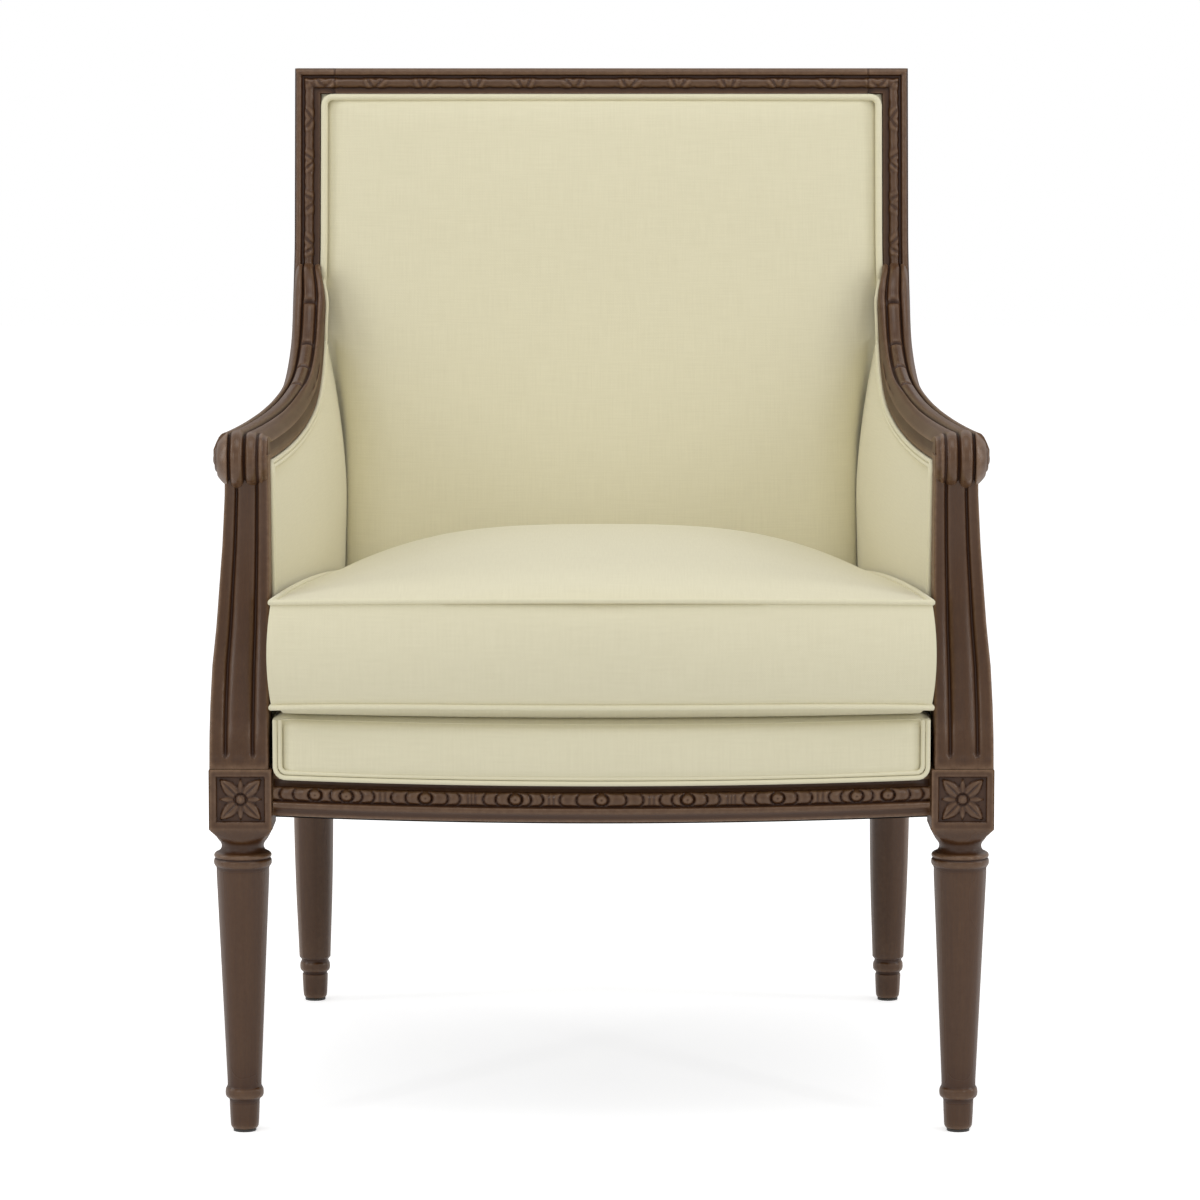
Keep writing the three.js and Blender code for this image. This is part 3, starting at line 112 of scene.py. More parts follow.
# Arm in side view: place, height and share of its narrowing
ARM_CROWN = np.array([
    (10, 613.5, 0), (49.2, 611.7, 0.008), (88.5, 610, 0.017), (131.5, 608.5, 0.038),
    (185, 607, 0.077), (237.6, 606, 0.13), (282.1, 605.8, 0.194), (319.3, 606.4, 0.273),
    (352.6, 607.5, 0.359), (384.8, 609.3, 0.449), (414.2, 611.7, 0.545), (441.8, 615, 0.64),
    (468.8, 619.4, 0.742), (494.2, 624.9, 0.841), (517, 632.1, 0.914), (537, 640.6, 0.959),
    (554.9, 650.4, 0.989), (570.2, 661.5, 1.007), (582.5, 674.3, 1.007), (592.4, 687.7, 1),
    (600.4, 700, 1), (605.4, 709.5, 1), (611.6, 717.5, 1), (619.4, 724, 1), (628, 728.2, 1),
    (637.2, 729.6, 1),
])
ARM_OUTER = (335.5, 301.5)
ARM_WIDTH = (47.0, 31.0)

# Underside of the arm in side view
ARM_UNDER = np.array([
    (8.8, 586.5), (48, 584.8), (87.5, 583), (130.6, 581.5), (184.4, 580), (237.2, 579),
    (282.2, 578.8), (320, 579.4), (353.8, 580.6), (386.6, 582.4), (416.9, 584.8), (445.5, 588.3),
    (473.8, 592.8), (501, 598.8), (526.4, 606.7), (548.7, 616.3), (569.2, 627.5), (627.2, 668.1),
])

# Arm stump in side view: height, front and back
STUMP_OUTER = ((322.3, 350, 376, 410, 445, 480, 514, 557, 592),
               (339.0, 338.8, 338.4, 337, 333.6, 331, 328.3, 325.8, 325))
STUMP_COURSE = np.array([
    (322.3, -25.5, 27.5), (350, -22.8, 27.5), (369.2, -17.6, 29), (388.7, -12.5, 30.5),
    (409.1, -7.4, 32.2), (430.1, -2.4, 34.1), (454.3, 1.3, 35.2), (474.5, 3.2, 35.5),
    (495.1, 4.4, 35.5), (515, 4.3, 35.1), (533.9, 3.2, 34.4), (551.8, 1.8, 33.5),
    (568.3, -0.1, 32.5), (584.2, -2.1, 31.5), (592, -3, 31),
])


# ---------------------------------------------------------------- shapes and lines


def colour(red, green, blue):
    """A screen colour as the linear one that Blender's nodes take."""
    shares = np.array([red, green, blue]) / 255
    light = np.where(shares <= 0.04045, shares / 12.92, ((shares + 0.055) / 1.055) ** 2.4)
    return tuple(float(v) for v in light)


def darker(tint, share):
    return tuple(v * share for v in tint)


def mix(a, b, share):
    return a + (b - a) * share


def ramp(value, low, high):
    """0 below low and 1 above high, with a soft start and end."""
    share = np.clip((value - low) / (high - low), 0, 1)
    return share * share * (3 - 2 * share)


def dome(distance, half):
    """Height of a round bead of that half width: 1 in its middle and 0 at its edge."""
    return np.sqrt(np.clip(1 - (distance / half) ** 2, 0, 1))


def notch(distance, width):
    """Depth of a soft groove: 1 in its middle."""
    return np.exp(-((distance / width) ** 2))


def rolled(distance, reach, depth):
    """How far a padded face falls back near its edge, by the distance from the edge."""
    near = np.clip(1 - distance / reach, 0, 1)
    return depth * (1 - np.sqrt(np.clip(1 - near**2, 0, 1)))


def swell(crown, u, v):
    """Rise of a pad with that crown in its middle, down to 0 along its edges."""
    return crown * (1 - u * u) * (1 - v * v)


def lean(height):
    """How far the back has leaned at a height."""
    return np.clip((height - RAIL_TOP) * BACK_LEAN / (HEIGHT - RAIL_TOP), 0, None)


def stile_front(height):
    return POST_FRONT + lean(height)


def bow(x):
    """Front face of the bowed seat rail."""
    return RAIL_FACE - RAIL_BOW * (1 - (x / BLOCK_INNER) ** 2)


def side_line(y):
    """Outer face of the side rail."""
    return np.interp(y, (0, 600), (337.5, 301.5))


def pad_line(y):
    """Inner face of the arm pad."""
    return np.interp(y, (27.5, 580), (287.5, 248.5))


def smooth_line(points, spacing):
    """Points spaced evenly along a smooth curve through the given ones."""
    points = np.asarray(points, float)
    ends = np.vstack([2 * points[0] - points[1], points, 2 * points[-1] - points[-2]])
    fine = []
    for i in range(1, len(ends) - 2):
        t = np.linspace(0, 1, 24, endpoint=False)[:, None]
        a, b, c, d = ends[i - 1], ends[i], ends[i + 1], ends[i + 2]
        fine.append(0.5 * (2 * b + (c - a) * t + (2 * a - 5 * b + 4 * c - d) * t**2
                           + (3 * b - a - 3 * c + d) * t**3))
    fine = np.vstack([*fine, points[-1:]])
    return even_line(fine, spacing)


def even_line(points, spacing):
    """The same broken line with points spaced evenly along it."""
    run = np.append(0, np.cumsum(np.linalg.norm(np.diff(points[:, :3], axis=0), axis=1)))
    count = max(2, round(run[-1] / spacing) + 1)
    places = np.linspace(0, run[-1], count)
    return np.stack([np.interp(places, run, points[:, k]) for k in range(points.shape[1])], 1)


def spread(*stops):
    """Places between stops, given as (place, number of steps up to the next stop)."""
    parts = []
    for (place, steps), (following, _) in zip(stops, stops[1:]):
        parts.append(np.linspace(place, following, steps, endpoint=False))
    return np.append(np.concatenate(parts), stops[-1][0])


def draped(rows_of_points):
    """Open skin: a grid laid over rows of points."""
    rows, columns = rows_of_points.shape[:2]
    bm = bmesh.new()
    bmesh.ops.create_grid(bm, x_segments=columns - 1, y_segments=rows - 1, size=1)
    places = rows_of_points.tolist()
    for v in bm.verts:
        column = round((v.co.x + 1) / 2 * (columns - 1))
        row = round((v.co.y + 1) / 2 * (rows - 1))
        v.co = places[row][column]
    return bm


def lofted(loops):
    """Closed skin through loops of points, with its seam merged and its ends filled."""
    bm = draped(loops)
    bmesh.ops.remove_doubles(bm, verts=bm.verts, dist=WELD)
    rims = [e for e in bm.edges if e.is_boundary]
    if rims:
        bmesh.ops.holes_fill(bm, edges=rims, sides=0)
    return bm


def cord_form(points, radius, towards, joined=False, sides=14):
    """Round cord along a line of points."""
    points = np.asarray(points, float)
    if joined:
        ahead, behind = np.roll(points, -1, 0), np.roll(points, 1, 0)
        along = ahead - behind
    else:
        along = np.gradient(points, axis=0)
    along /= np.linalg.norm(along, axis=1)[:, None]
    first = np.array(towards, float) - (along @ np.array(towards, float))[:, None] * along
    first /= np.linalg.norm(first, axis=1)[:, None]
    second = np.cross(along, first)
    turn = np.linspace(0, 2 * math.pi, sides + 1)
    loops = (points[:, None] + radius * (np.cos(turn)[None, :, None] * first[:, None]
                                         + np.sin(turn)[None, :, None] * second[:, None]))
    if joined:
        loops = np.concatenate([loops, loops[:1]])
    return lofted(loops)


def soft_block(across, along, up, place):
    """Closed padded form: a finely divided box whose points go where place says."""
    bm = bmesh.new()
    bmesh.ops.create_cube(bm, size=2)
    for axis, cuts in enumerate((across, along, up)):
        edges = [e for e in bm.edges if abs(e.verts[0].co[axis] - e.verts[1].co[axis]) > 1]
        bmesh.ops.subdivide_edges(bm, edges=edges, cuts=cuts - 1, use_grid_fill=True)
    bm.verts.ensure_lookup_table()
    shares = np.array([v.co[:] for v in bm.verts])
    x, y, z = place(shares[:, 0], shares[:, 1], shares[:, 2])
    for v, p in zip(bm.verts, np.stack([x, y, z], 1).tolist()):
        v.co = p
    return bm


def gathered(forms):
    """Several forms as one."""
    whole = bmesh.new()
    for form in forms:
        mesh = bpy.data.meshes.new("part")
        form.to_mesh(mesh)
        form.free()
        whole.from_mesh(mesh)
        bpy.data.meshes.remove(mesh)
    return whole


# ---------------------------------------------------------------- finished pieces


# Above the arms the back narrows a little towards its top: start, run and share
DRAW_START, DRAW_RUN, DRAW_SHARE = 640, 120, 0.0078
# Joint lines of the top rail, in metres: place, reach and foot. They take no painted shade or
# highlight and no wear.
JOINT_PLACE, JOINT_REACH, JOINT_FOOT = 0.2623, 0.0016, 0.865
# Rounds of smoothing of the fine and of the broad relief, with their strengths
RELIEF_SCALES = ((2, 0.5), (10, 1.6))
HARD_CREASE, SOFT_CREASE, BOX_CREASE = 38, 70, 50


def read(rows, key, width, kind=float):
    """One property of all vertices, edges, corners or faces as rows of an array."""
    values = np.empty(len(rows) * width, kind)
    rows.foreach_get(key, values)
    return values.reshape(-1, width)


def mark_relief(mesh):
    """Keeps on each point how far it stands proud of its surroundings, for the stain that darkens
    the hollows with painted shade and lightens the edges with rubbed wear and a painted highlight.
    """
    count = len(mesh.vertices)
    places = read(mesh.vertices, "co", 3)
    normals = read(mesh.vertex_normals, "vector", 3, np.float32)
    a, b = read(mesh.edges, "vertices", 2, np.int32).T
    gap = places[b] - places[a]
    gap /= np.maximum(np.linalg.norm(gap, axis=1), 1e-9)[:, None]
    links = np.maximum(np.bincount(a, minlength=count) + np.bincount(b, minlength=count), 1)
    relief = (np.bincount(b, (gap * normals[b]).sum(1), count)
              - np.bincount(a, (gap * normals[a]).sum(1), count)) / links
    total = 0
    for turns, strength in RELIEF_SCALES:
        for _ in range(turns):
            around = np.bincount(a, relief[b], count) + np.bincount(b, relief[a], count)
            relief = 0.5 * relief + 0.5 * around / links
        total = total + strength * relief
    from_joint = np.abs(np.abs(places[:, 0]) - JOINT_PLACE)
    total[(from_joint < JOINT_REACH) & (places[:, 2] > JOINT_FOOT)] = 0
    mesh.attributes.new("relief", "FLOAT", "POINT").data.foreach_set(
        "value", total.astype(np.float32))


def lay_cloth(mesh):
    """Threads run straight over each face of the piece, as metres on its own UV map."""
    corners = read(mesh.loops, "vertex_index", 1, np.int32)[:, 0]
    places = read(mesh.vertices, "co", 3)[corners]
    facing = np.abs(read(mesh.polygons, "normal", 3)).argmax(1)
    facing = np.repeat(facing, read(mesh.polygons, "loop_total", 1, np.int32)[:, 0])
    threads = np.choose(facing[:, None],
                        [places[:, [1, 2]], places[:, [0, 2]], places[:, [0, 1]]])
    mesh.uv_layers.new(name="cloth").data.foreach_set("uv", threads.astype(np.float32).ravel())


def drawn_in(form):
    """Narrows the back above the arms."""
    for v in form.verts:
        if v.co.z > DRAW_START:
            share = min((v.co.z - DRAW_START) / DRAW_RUN, 1)
            v.co.x *= 1 - DRAW_SHARE * share * share * (3 - 2 * share)


def finished(name, form, finish, slot, nodes, body="frame", crease=HARD_CREASE):
    """Turns a form into a piece in the frame's metres, in place of its CAD nodes."""
    drawn_in(form)
    bmesh.ops.remove_doubles(form, verts=form.verts, dist=WELD)
    bmesh.ops.recalc_face_normals(form, faces=form.faces)
    bmesh.ops.scale(form, vec=(MM, MM, MM), verts=form.verts)
    bmesh.ops.translate(form, vec=(0, SEAT_PLACE, 0), verts=form.verts)
    mesh = bpy.data.meshes.new(name)
    form.to_mesh(mesh)
    form.free()
    mesh.shade_smooth()
    mesh.set_sharp_from_angle(angle=math.radians(crease))
    mesh.materials.append(finish)
    piece = bpy.data.objects.new(name, mesh)
    bpy.context.scene.collection.objects.link(piece)
    if slot in ("cloth", "lining"):
        lay_cloth(mesh)
    else:
        mark_relief(mesh)
    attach(piece, body)
    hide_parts(*nodes)
    return piece


def kept(node, finish):
    """A CAD node whose shape is right keeps it and takes a finer finish."""
    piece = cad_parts[node]
    piece.data.materials.clear()
    piece.data.materials.append(finish)


# ---------------------------------------------------------------- finishes


def feed(tree, node, inputs):
    """Links the inputs that are given as sockets and sets the others."""
    for key, value in inputs.items():
        if isinstance(value, bpy.types.NodeSocket):
            tree.links.new(value, node.inputs[key])
        else:
            node.inputs[key].default_value = value


def add(tree, kind, inputs=None, **settings):
    made = tree.nodes.new(kind)
    for key, value in settings.items():
        setattr(made, key, value)
    feed(tree, made, inputs or {})
    return made


def calculate(tree, operation, *values, clamp=False):
    return add(tree, "ShaderNodeMath", dict(enumerate(values)), operation=operation,
               use_clamp=clamp).outputs[0]


def noise(tree, vector, scale, detail=3.0, roughness=0.5, distortion=0.0):
    return add(tree, "ShaderNodeTexNoise", {
        "Vector": vector, "Scale": scale, "Detail": detail, "Roughness": roughness,
        "Distortion": distortion}).outputs["Fac"]


def stretched(tree, vector, scale):
    return add(tree, "ShaderNodeVectorMath", {0: vector, 1: scale},
               operation="MULTIPLY").outputs[0]


def blended(tree, share, a, b):
    """Colour between a and b, each of them a socket or a plain colour."""
    ends = [end if isinstance(end, bpy.types.NodeSocket) else (*tuple(end)[:3], 1.0)
            for end in (a, b)]
    return add(tree, "ShaderNodeMix", {0: share, 6: ends[0], 7: ends[1]}, data_type="RGBA",
               clamp_result=True).outputs[2]


def veiled(tree, under, mask, strength, over):
    """Colour with another one laid over it where the mask says."""
    return blended(tree, calculate(tree, "MULTIPLY", mask, strength), under, over)


def bumped(tree, height, distance, strength=1.0):
    return add(tree, "ShaderNodeBump", {
        "Height": height, "Distance": distance, "Strength": strength}).outputs["Normal"]


def object_place(tree):
    return add(tree, "ShaderNodeTexCoord").outputs["Object"]


def turned_place(tree, turn):
    """Object coordinates turned by three angles."""
    return add(tree, "ShaderNodeMapping", {
        "Vector": object_place(tree), "Rotation": turn}).outputs[0]


def along_grain(tree, axis):
    """Object coordinates turned so that the grain runs along Z."""
    return turned_place(tree, {
        "X": (0, QUARTER, 0), "Y": (QUARTER, 0, 0), "Z": (0, 0, 0)}[axis])


def cloth_place(tree):
    return add(tree, "ShaderNodeUVMap", uv_map="cloth").outputs[0]


def emptied(owner):
    """Node tree of a material or a world, without the nodes it starts with."""
    owner.use_nodes = True
    owner.node_tree.nodes.clear()
    return owner.node_tree


def effect(name, inputs, outputs):
    """Makes a function that fills a node group into one that builds the group once."""
    def named(fill):
        def use(tree, settings):
            made = bpy.data.node_groups.get(name)
            if made is None:
                made = bpy.data.node_groups.new(name, "ShaderNodeTree")
                for label, value in inputs.items():
                    kind = "NodeSocketVector" if value is None else "NodeSocketFloat"
                    socket = made.interface.new_socket(label, in_out="INPUT", socket_type=kind)
                    if value is not None:
                        socket.default_value = value
                for label in outputs:
                    made.interface.new_socket(label, in_out="OUTPUT",
                                              socket_type="NodeSocketFloat")
                into, out = add(made, "NodeGroupInput"), add(made, "NodeGroupOutput")
                feed(made, out, fill(made, into.outputs))
            return add(tree, "ShaderNodeGroup", settings, node_tree=made).outputs
        return use
    return named


def material(name):
    """Makes a function that feeds the shader into one that builds its material once."""
    def named(fill):
        def use(*axis):
            title = " ".join((name, *axis))
            made = bpy.data.materials.get(title)
            if made is None:
                made = bpy.data.materials.new(title)
                tree = emptied(made)
                shader = add(tree, "ShaderNodeBsdfPrincipled")
                add(tree, "ShaderNodeOutputMaterial", {"Surface": shader.outputs[0]})
                feed(tree, shader, fill(tree, *axis))
            return made
        return use
    return named


@effect("Wood grain", {"Vector": None, "Spread": 1.0}, ("Streaks", "Pores", "Cloud"))
def wood_grain(tree, into):
    """Streaks and pores of wood whose grain runs along the vector's Z."""
    spot = add(tree, "ShaderNodeVectorMath", {0: into["Vector"], "Scale": into["Spread"]},
               operation="SCALE").outputs[0]
    streaks = noise(tree, stretched(tree, spot, (210, 210, 7)), 1.0, 5.0, 0.62, 0.6)
    pores = noise(tree, stretched(tree, spot, (1400, 1400, 46)), 1.0, 2.0)
    cloud = noise(tree, stretched(tree, spot, (26, 26, 9)), 1.0)
    return {"Streaks": streaks, "Pores": calculate(tree, "POWER", pores, 2.2), "Cloud": cloud}


@effect("Carved wear and painted light", {"Relief": 0.0, "Vector": None, "Hollow Reach": 0.25,
                        "Edge Reach": 0.25}, ("Hollow stain and shade", "Edges"))
def carved_wear_and_light(tree, into):
    """Where stain lies thick in the hollows, with painted shade there, and where it is rubbed from
    the edges, with a painted highlight there.
    """
    patchy = noise(tree, into["Vector"], 180.0, 3.0, 0.6)
    turned = calculate(tree, "MULTIPLY", into["Relief"], -1.0)
    hollows = calculate(tree, "DIVIDE", turned, into["Hollow Reach"], clamp=True)
    edges = calculate(tree, "DIVIDE", into["Relief"], into["Edge Reach"], clamp=True)
    worn_and_lit = calculate(tree, "MULTIPLY", edges, calculate(tree, "MULTIPLY_ADD", patchy, 1.4, 0.15))
    return {"Hollow stain and shade": calculate(tree, "POWER", hollows, 0.8),
            "Edges": calculate(tree, "MINIMUM", worn_and_lit, 1.0)}


@effect("Linen weave", {"Vector": None, "Pitch": 0.0008, "Slub Length": 0.02},
        ("Threads", "Slubs", "Tone"))
def linen_weave(tree, into):
    """Plain weave with the slubs of linen yarn, on a vector in metres."""
    wander = noise(tree, into["Vector"], 90.0, 2.0)
    drift = calculate(tree, "MULTIPLY_ADD", wander, 0.0016, -0.0008)
    spot = add(tree, "ShaderNodeSeparateXYZ", {0: into["Vector"]}).outputs
    turns = calculate(tree, "DIVIDE", math.pi, into["Pitch"])
    waves = []
    for axis in (0, 1):
        place = calculate(tree, "ADD", spot[axis], drift)
        waves.append(calculate(tree, "SINE", calculate(tree, "MULTIPLY", place, turns)))
    crossing = calculate(tree, "MULTIPLY", *waves)
    threads = calculate(tree, "MULTIPLY_ADD", crossing, 0.5, 0.5)
    thick = calculate(tree, "DIVIDE", 0.62, into["Pitch"])
    long = calculate(tree, "DIVIDE", 0.62, into["Slub Length"])
    slubs = []
    for pair in ((thick, long), (long, thick)):
        scale = add(tree, "ShaderNodeCombineXYZ", {0: pair[0], 1: pair[1], 2: 1.0}).outputs[0]
        slubs.append(noise(tree, stretched(tree, into["Vector"], scale), 1.0, 2.0, 0.55))
    both = calculate(tree, "ADD", *slubs)
    return {"Threads": threads, "Slubs": calculate(tree, "MULTIPLY", both, 0.5),
            "Tone": noise(tree, into["Vector"], 9.0)}


@material("Stained wood")
def stained_wood(tree, axis):
    """Dark stained beech, satin, darker in its hollows with stain and painted shade, and lighter on
    its edges with rubbed wear and a painted highlight.
    """
    wood = bpy.context.scene.fauteuil_wood
    spot = along_grain(tree, axis)
    grain = wood_grain(tree, {"Vector": spot, "Spread": 1.0})
    relief = add(tree, "ShaderNodeAttribute", attribute_name="relief").outputs["Fac"]
    wear_and_light = carved_wear_and_light(tree, {
        "Relief": relief, "Vector": spot, "Hollow Reach": 0.13, "Edge Reach": 0.17})
    streaks = calculate(tree, "MULTIPLY_ADD", grain["Streaks"], 1.5, -0.3, clamp=True)
    stain = blended(tree, streaks, wood.stain_dark, wood.stain)
    stain = veiled(tree, stain, grain["Pores"], 0.5, wood.hollow_stain_and_shade)
    # Darker stain in the hollows, which also paints the shade that falls in them.
    stain = veiled(tree, stain, wear_and_light["Hollow stain and shade"], 0.9, wood.hollow_stain_and_shade)
    # Lighter rubbed edges, which also paint a highlight along the ridges.
    stain = veiled(tree, stain, wear_and_light["Edges"], 0.75, wood.rubbed_and_sheen)
    rough = calculate(tree, "MULTIPLY_ADD", grain["Cloud"], 0.16, wood.roughness - 0.08)
    rough = calculate(tree, "MULTIPLY_ADD", wear_and_light["Hollow stain and shade"], 0.3, rough)
    glance = add(tree, "ShaderNodeLayerWeight").outputs["Facing"]
    rough = calculate(tree, "MULTIPLY_ADD", calculate(tree, "POWER", glance, 3.0), 0.45, rough,
                      clamp=True)
    height = calculate(tree, "MULTIPLY_ADD", grain["Pores"], -0.6, grain["Streaks"])
    return {"Base Color": stain, "Roughness": rough, "Specular IOR Level": 0.31,
            "Normal": bumped(tree, height, 0.00025, 0.5)}


@material("Frame timber")
def plain_timber(tree, axis):
    """Unfinished beech of the hidden frame."""
    timber = bpy.context.scene.fauteuil_hidden
    grain = wood_grain(tree, {"Vector": along_grain(tree, axis), "Spread": 0.8})
    tint = blended(tree, grain["Streaks"], timber.timber_dark, timber.timber)
    return {"Base Color": veiled(tree, tint, grain["Pores"], 0.5, timber.timber_dark),
            "Roughness": calculate(tree, "MULTIPLY_ADD", grain["Cloud"], 0.2, 0.6),
            "Normal": bumped(tree, grain["Streaks"], 0.0003, 0.6)}


@material("Linen cover")
def linen(tree):
    """Pale olive linen cover."""
    cloth = bpy.context.scene.fauteuil_cloth
    weave = linen_weave(tree, {"Vector": cloth_place(tree), "Pitch": cloth.thread_pitch,
                               "Slub Length": cloth.slub_length})
    slubs = calculate(tree, "MULTIPLY_ADD", weave["Slubs"], -1.1, 0.72, clamp=True)
    tint = blended(tree, slubs, cloth.tint, cloth.shade)
    between = calculate(tree, "SUBTRACT", 1.0, weave["Threads"])
    tint = veiled(tree, tint, between, 0.2, cloth.shade)
    tint = veiled(tree, tint, weave["Tone"], 0.06, cloth.shade)
    height = calculate(tree, "MULTIPLY_ADD", weave["Slubs"], 0.8, weave["Threads"])
    return {"Base Color": tint,
            "Roughness": calculate(tree, "MULTIPLY_ADD", weave["Threads"], -0.1, 0.93),
            "Specular IOR Level": 0.25, "Sheen Weight": 0.18, "Sheen Roughness": 0.45,
            "Normal": bumped(tree, height, 0.0002, 0.45)}


@material("Dust lining")
def lining_cloth(tree):
    """Thin dark cloth under the seat, a little dusty."""
    lining = bpy.context.scene.fauteuil_hidden.lining
    weave = linen_weave(tree, {"Vector": cloth_place(tree), "Pitch": 0.0007, "Slub Length": 0.01})
    tint = blended(tree, weave["Threads"], darker(lining, 0.5), lining)
    return {"Base Color": veiled(tree, tint, weave["Tone"], 0.35, colour(70, 67, 62)),
            "Roughness": calculate(tree, "MULTIPLY_ADD", weave["Slubs"], 0.1, 0.85),
            "Normal": bumped(tree, weave["Threads"], 0.0002, 0.6)}


@material("Jute webbing")
def jute_webbing(tree, axis):
    """Coarse jute strap that runs along X or Y."""
    jute = bpy.context.scene.fauteuil_hidden.jute
    spot = turned_place(tree, (0, 0, QUARTER) if axis == "Y" else (0, 0, 0))
    weave = linen_weave(tree, {"Vector": spot, "Pitch": 0.0022, "Slub Length": 0.03})
    slubs = calculate(tree, "MULTIPLY_ADD", weave["Slubs"], 3.0, -1.0, clamp=True)
    between = calculate(tree, "SUBTRACT", 1.0, weave["Threads"])
    tint = blended(tree, slubs, darker(jute, 0.55), jute)
    return {"Base Color": blended(tree, between, tint, darker(jute, 0.35)),
            "Roughness": calculate(tree, "MULTIPLY_ADD", weave["Slubs"], 0.15, 0.8),
            "Normal": bumped(tree, weave["Threads"], 0.0006, 0.8)}


@material("Screw steel")
def screw_steel(tree):
    """Bright steel of the screws, lightly brushed."""
    scratches = noise(tree, stretched(tree, object_place(tree), (900, 900, 120)), 1.0, 4.0, 0.6)
    return {"Base Color": blended(tree, scratches, colour(120, 120, 118), colour(178, 178, 174)),
            "Roughness": calculate(tree, "MULTIPLY_ADD", scratches, 0.25, 0.25),
            "Metallic": 1.0, "Normal": bumped(tree, scratches, 0.0001, 0.4)}


@material("Glide plastic")
def glide_plastic(tree):
    """Dark moulded plastic of the glides, scuffed."""
    scuffs = noise(tree, object_place(tree), 1400.0, 4.0, 0.7)
    return {"Base Color": blended(tree, scuffs, colour(26, 23, 21), colour(58, 54, 50)),
            "Roughness": calculate(tree, "MULTIPLY_ADD", scuffs, 0.3, 0.35),
            "Normal": bumped(tree, scuffs, 0.0001, 0.3)}


# ---------------------------------------------------------------- settings


def length(name, description, millimetres):
    return FloatProperty(name=name, description=description, default=millimetres * MM, min=0,
                         unit="LENGTH", precision=4)


def share_of(name, description, value):
    return FloatProperty(name=name, description=description, default=value, min=0, max=1,
                         subtype="FACTOR")


def tint_of(name, description, red, green, blue):
    return FloatVectorProperty(name=name, description=description, subtype="COLOR", size=3,
                               min=0, max=1, default=colour(red, green, blue))


def power_of(name, description, watts):
    return FloatProperty(name=name, description=description, default=watts, min=0, unit="POWER")


class FauteuilWood(bpy.types.PropertyGroup):
    """Show-wood: its stain and its carving"""

    stain: tint_of("Stain", "Stain on the flats of the show-wood", 78, 49, 23)
    stain_dark: tint_of("Dark stain", "Stain in the dark streaks of the grain", 64, 37, 15)
    # Colour in the hollows: stain gathered there, and painted shade there as well.
    hollow_stain_and_shade: tint_of("Hollow stain and shade", "Stain gathered in the hollows and painted shade there", 44, 23, 11)
    # Colour on the edges: rubbed wear, and a painted highlight there as well.
    rubbed_and_sheen: tint_of("Rubbed edges and sheen", "Stain rubbed back on the edges, with a painted highlight there", 126, 98, 74)
    roughness: share_of("Roughness", "Roughness of the satin polish", 0.24)
    top_pitch: length("Top ribbon pitch", "From one leaf knot to the next on the top rail", 49)
    side_pitch: length("Side ribbon pitch", "From one leaf knot to the next on the stiles", 41)
    ribbon_relief: length("Ribbon relief", "Height of the leaf knots on the bead", 0.9)
    bead_width: length("Bead width", "Width of the ribbon-carved bead", 9.6)
    coin_radius: length("Coin radius", "Radius of the coins on the seat rails", 4.9)
    coin_relief: length("Coin relief", "Height of the coins above their ground", 3.4)
    panel_depth: length("Panel depth", "Depth of the sunk panel on the leg blocks", 2.4)
    petal_length: length("Petal length", "Length of the petals on the leg blocks", 22)
    flute_depth: length("Flute depth", "Depth of the two grooves of an arm stump", 5.0)


class FauteuilCloth(bpy.types.PropertyGroup):
    """Cover: its linen and its welts"""

    tint: tint_of("Cloth", "Colour of the linen threads", 228, 222, 193)
    shade: tint_of("Cloth shade", "Colour of the slubs and between the threads", 208, 201, 170)
    thread_pitch: length("Thread pitch", "From one thread to the next", 0.8)
    slub_length: length("Slub length", "Length of the thick places in the yarn", 22)
    welt_radius: length("Welt radius", "Radius of the single welts", 3.4)
    twin_radius: length("Double welt radius", "Radius of each cord of a double welt", 2.1)


class FauteuilSeat(bpy.types.PropertyGroup):
    """Cushion: its box and its filling"""

    boxing: length("Boxing", "Height of the cushion's boxing between its welts", 85)
    crown: length("Crown", "Rise of the cushion's top above its seam", 32)
    travel: length("Travel", "Most that the filling may push the cover out", 4)
    pressure: FloatProperty(name="Pressure", description="Pressure of the filling", default=4,
                            min=0)
    frames: IntProperty(name="Frames", description="Steps of the filling", default=20, min=1)
    band_crown: length("Band crown", "Rise of the band below the cushion", 3)
    back_crown: length("Back crown", "Rise of the inside back pad", 20)


class FauteuilHidden(bpy.types.PropertyGroup):
    """Hidden frame: its timber, webbing and lining"""

    timber: tint_of("Timber", "Unfinished beech", 206, 172, 128)
    timber_dark: tint_of("Dark timber", "Dark streaks of the beech", 168, 130, 90)
    jute: tint_of("Jute", "Webbing under the seat", 176, 148, 104)
    lining: tint_of("Lining", "Dust cover under the seat", 34, 33, 32)


class FauteuilStage(bpy.types.PropertyGroup):
    """Stage: floor, lamps and camera"""

    floor: tint_of("Floor", "Colour of the floor", 236, 236, 236)
    key: power_of("Key lamp", "Power of the large lamp overhead", 31.5)
    front: power_of("Front lamp", "Power of the lamp in front", 0.8)
    fill: power_of("Side lamps", "Power of each lamp at the side", 12)
    strip: power_of("Strip lamps", "Power of each narrow lamp in front", 8)
    sky: share_of("Sky", "Strength of the light from all round", 0.66)
    distance: length("Camera distance", "From the front edge of the floor to the camera", 4815)
    rise: length("Camera height", "Height of the camera above the floor", 960)
    pitch: FloatProperty(name="Camera pitch", description="How far the camera looks down",
                         default=math.radians(6.257), subtype="ANGLE")
    lens: FloatProperty(name="Lens", description="Focal length", default=156.92, min=1,
                        unit="CAMERA")


SETTINGS = (
    ("fauteuil_wood", FauteuilWood),
    ("fauteuil_cloth", FauteuilCloth),
    ("fauteuil_seat", FauteuilSeat),
    ("fauteuil_hidden", FauteuilHidden),
    ("fauteuil_stage", FauteuilStage),
)


# ---------------------------------------------------------------- carving


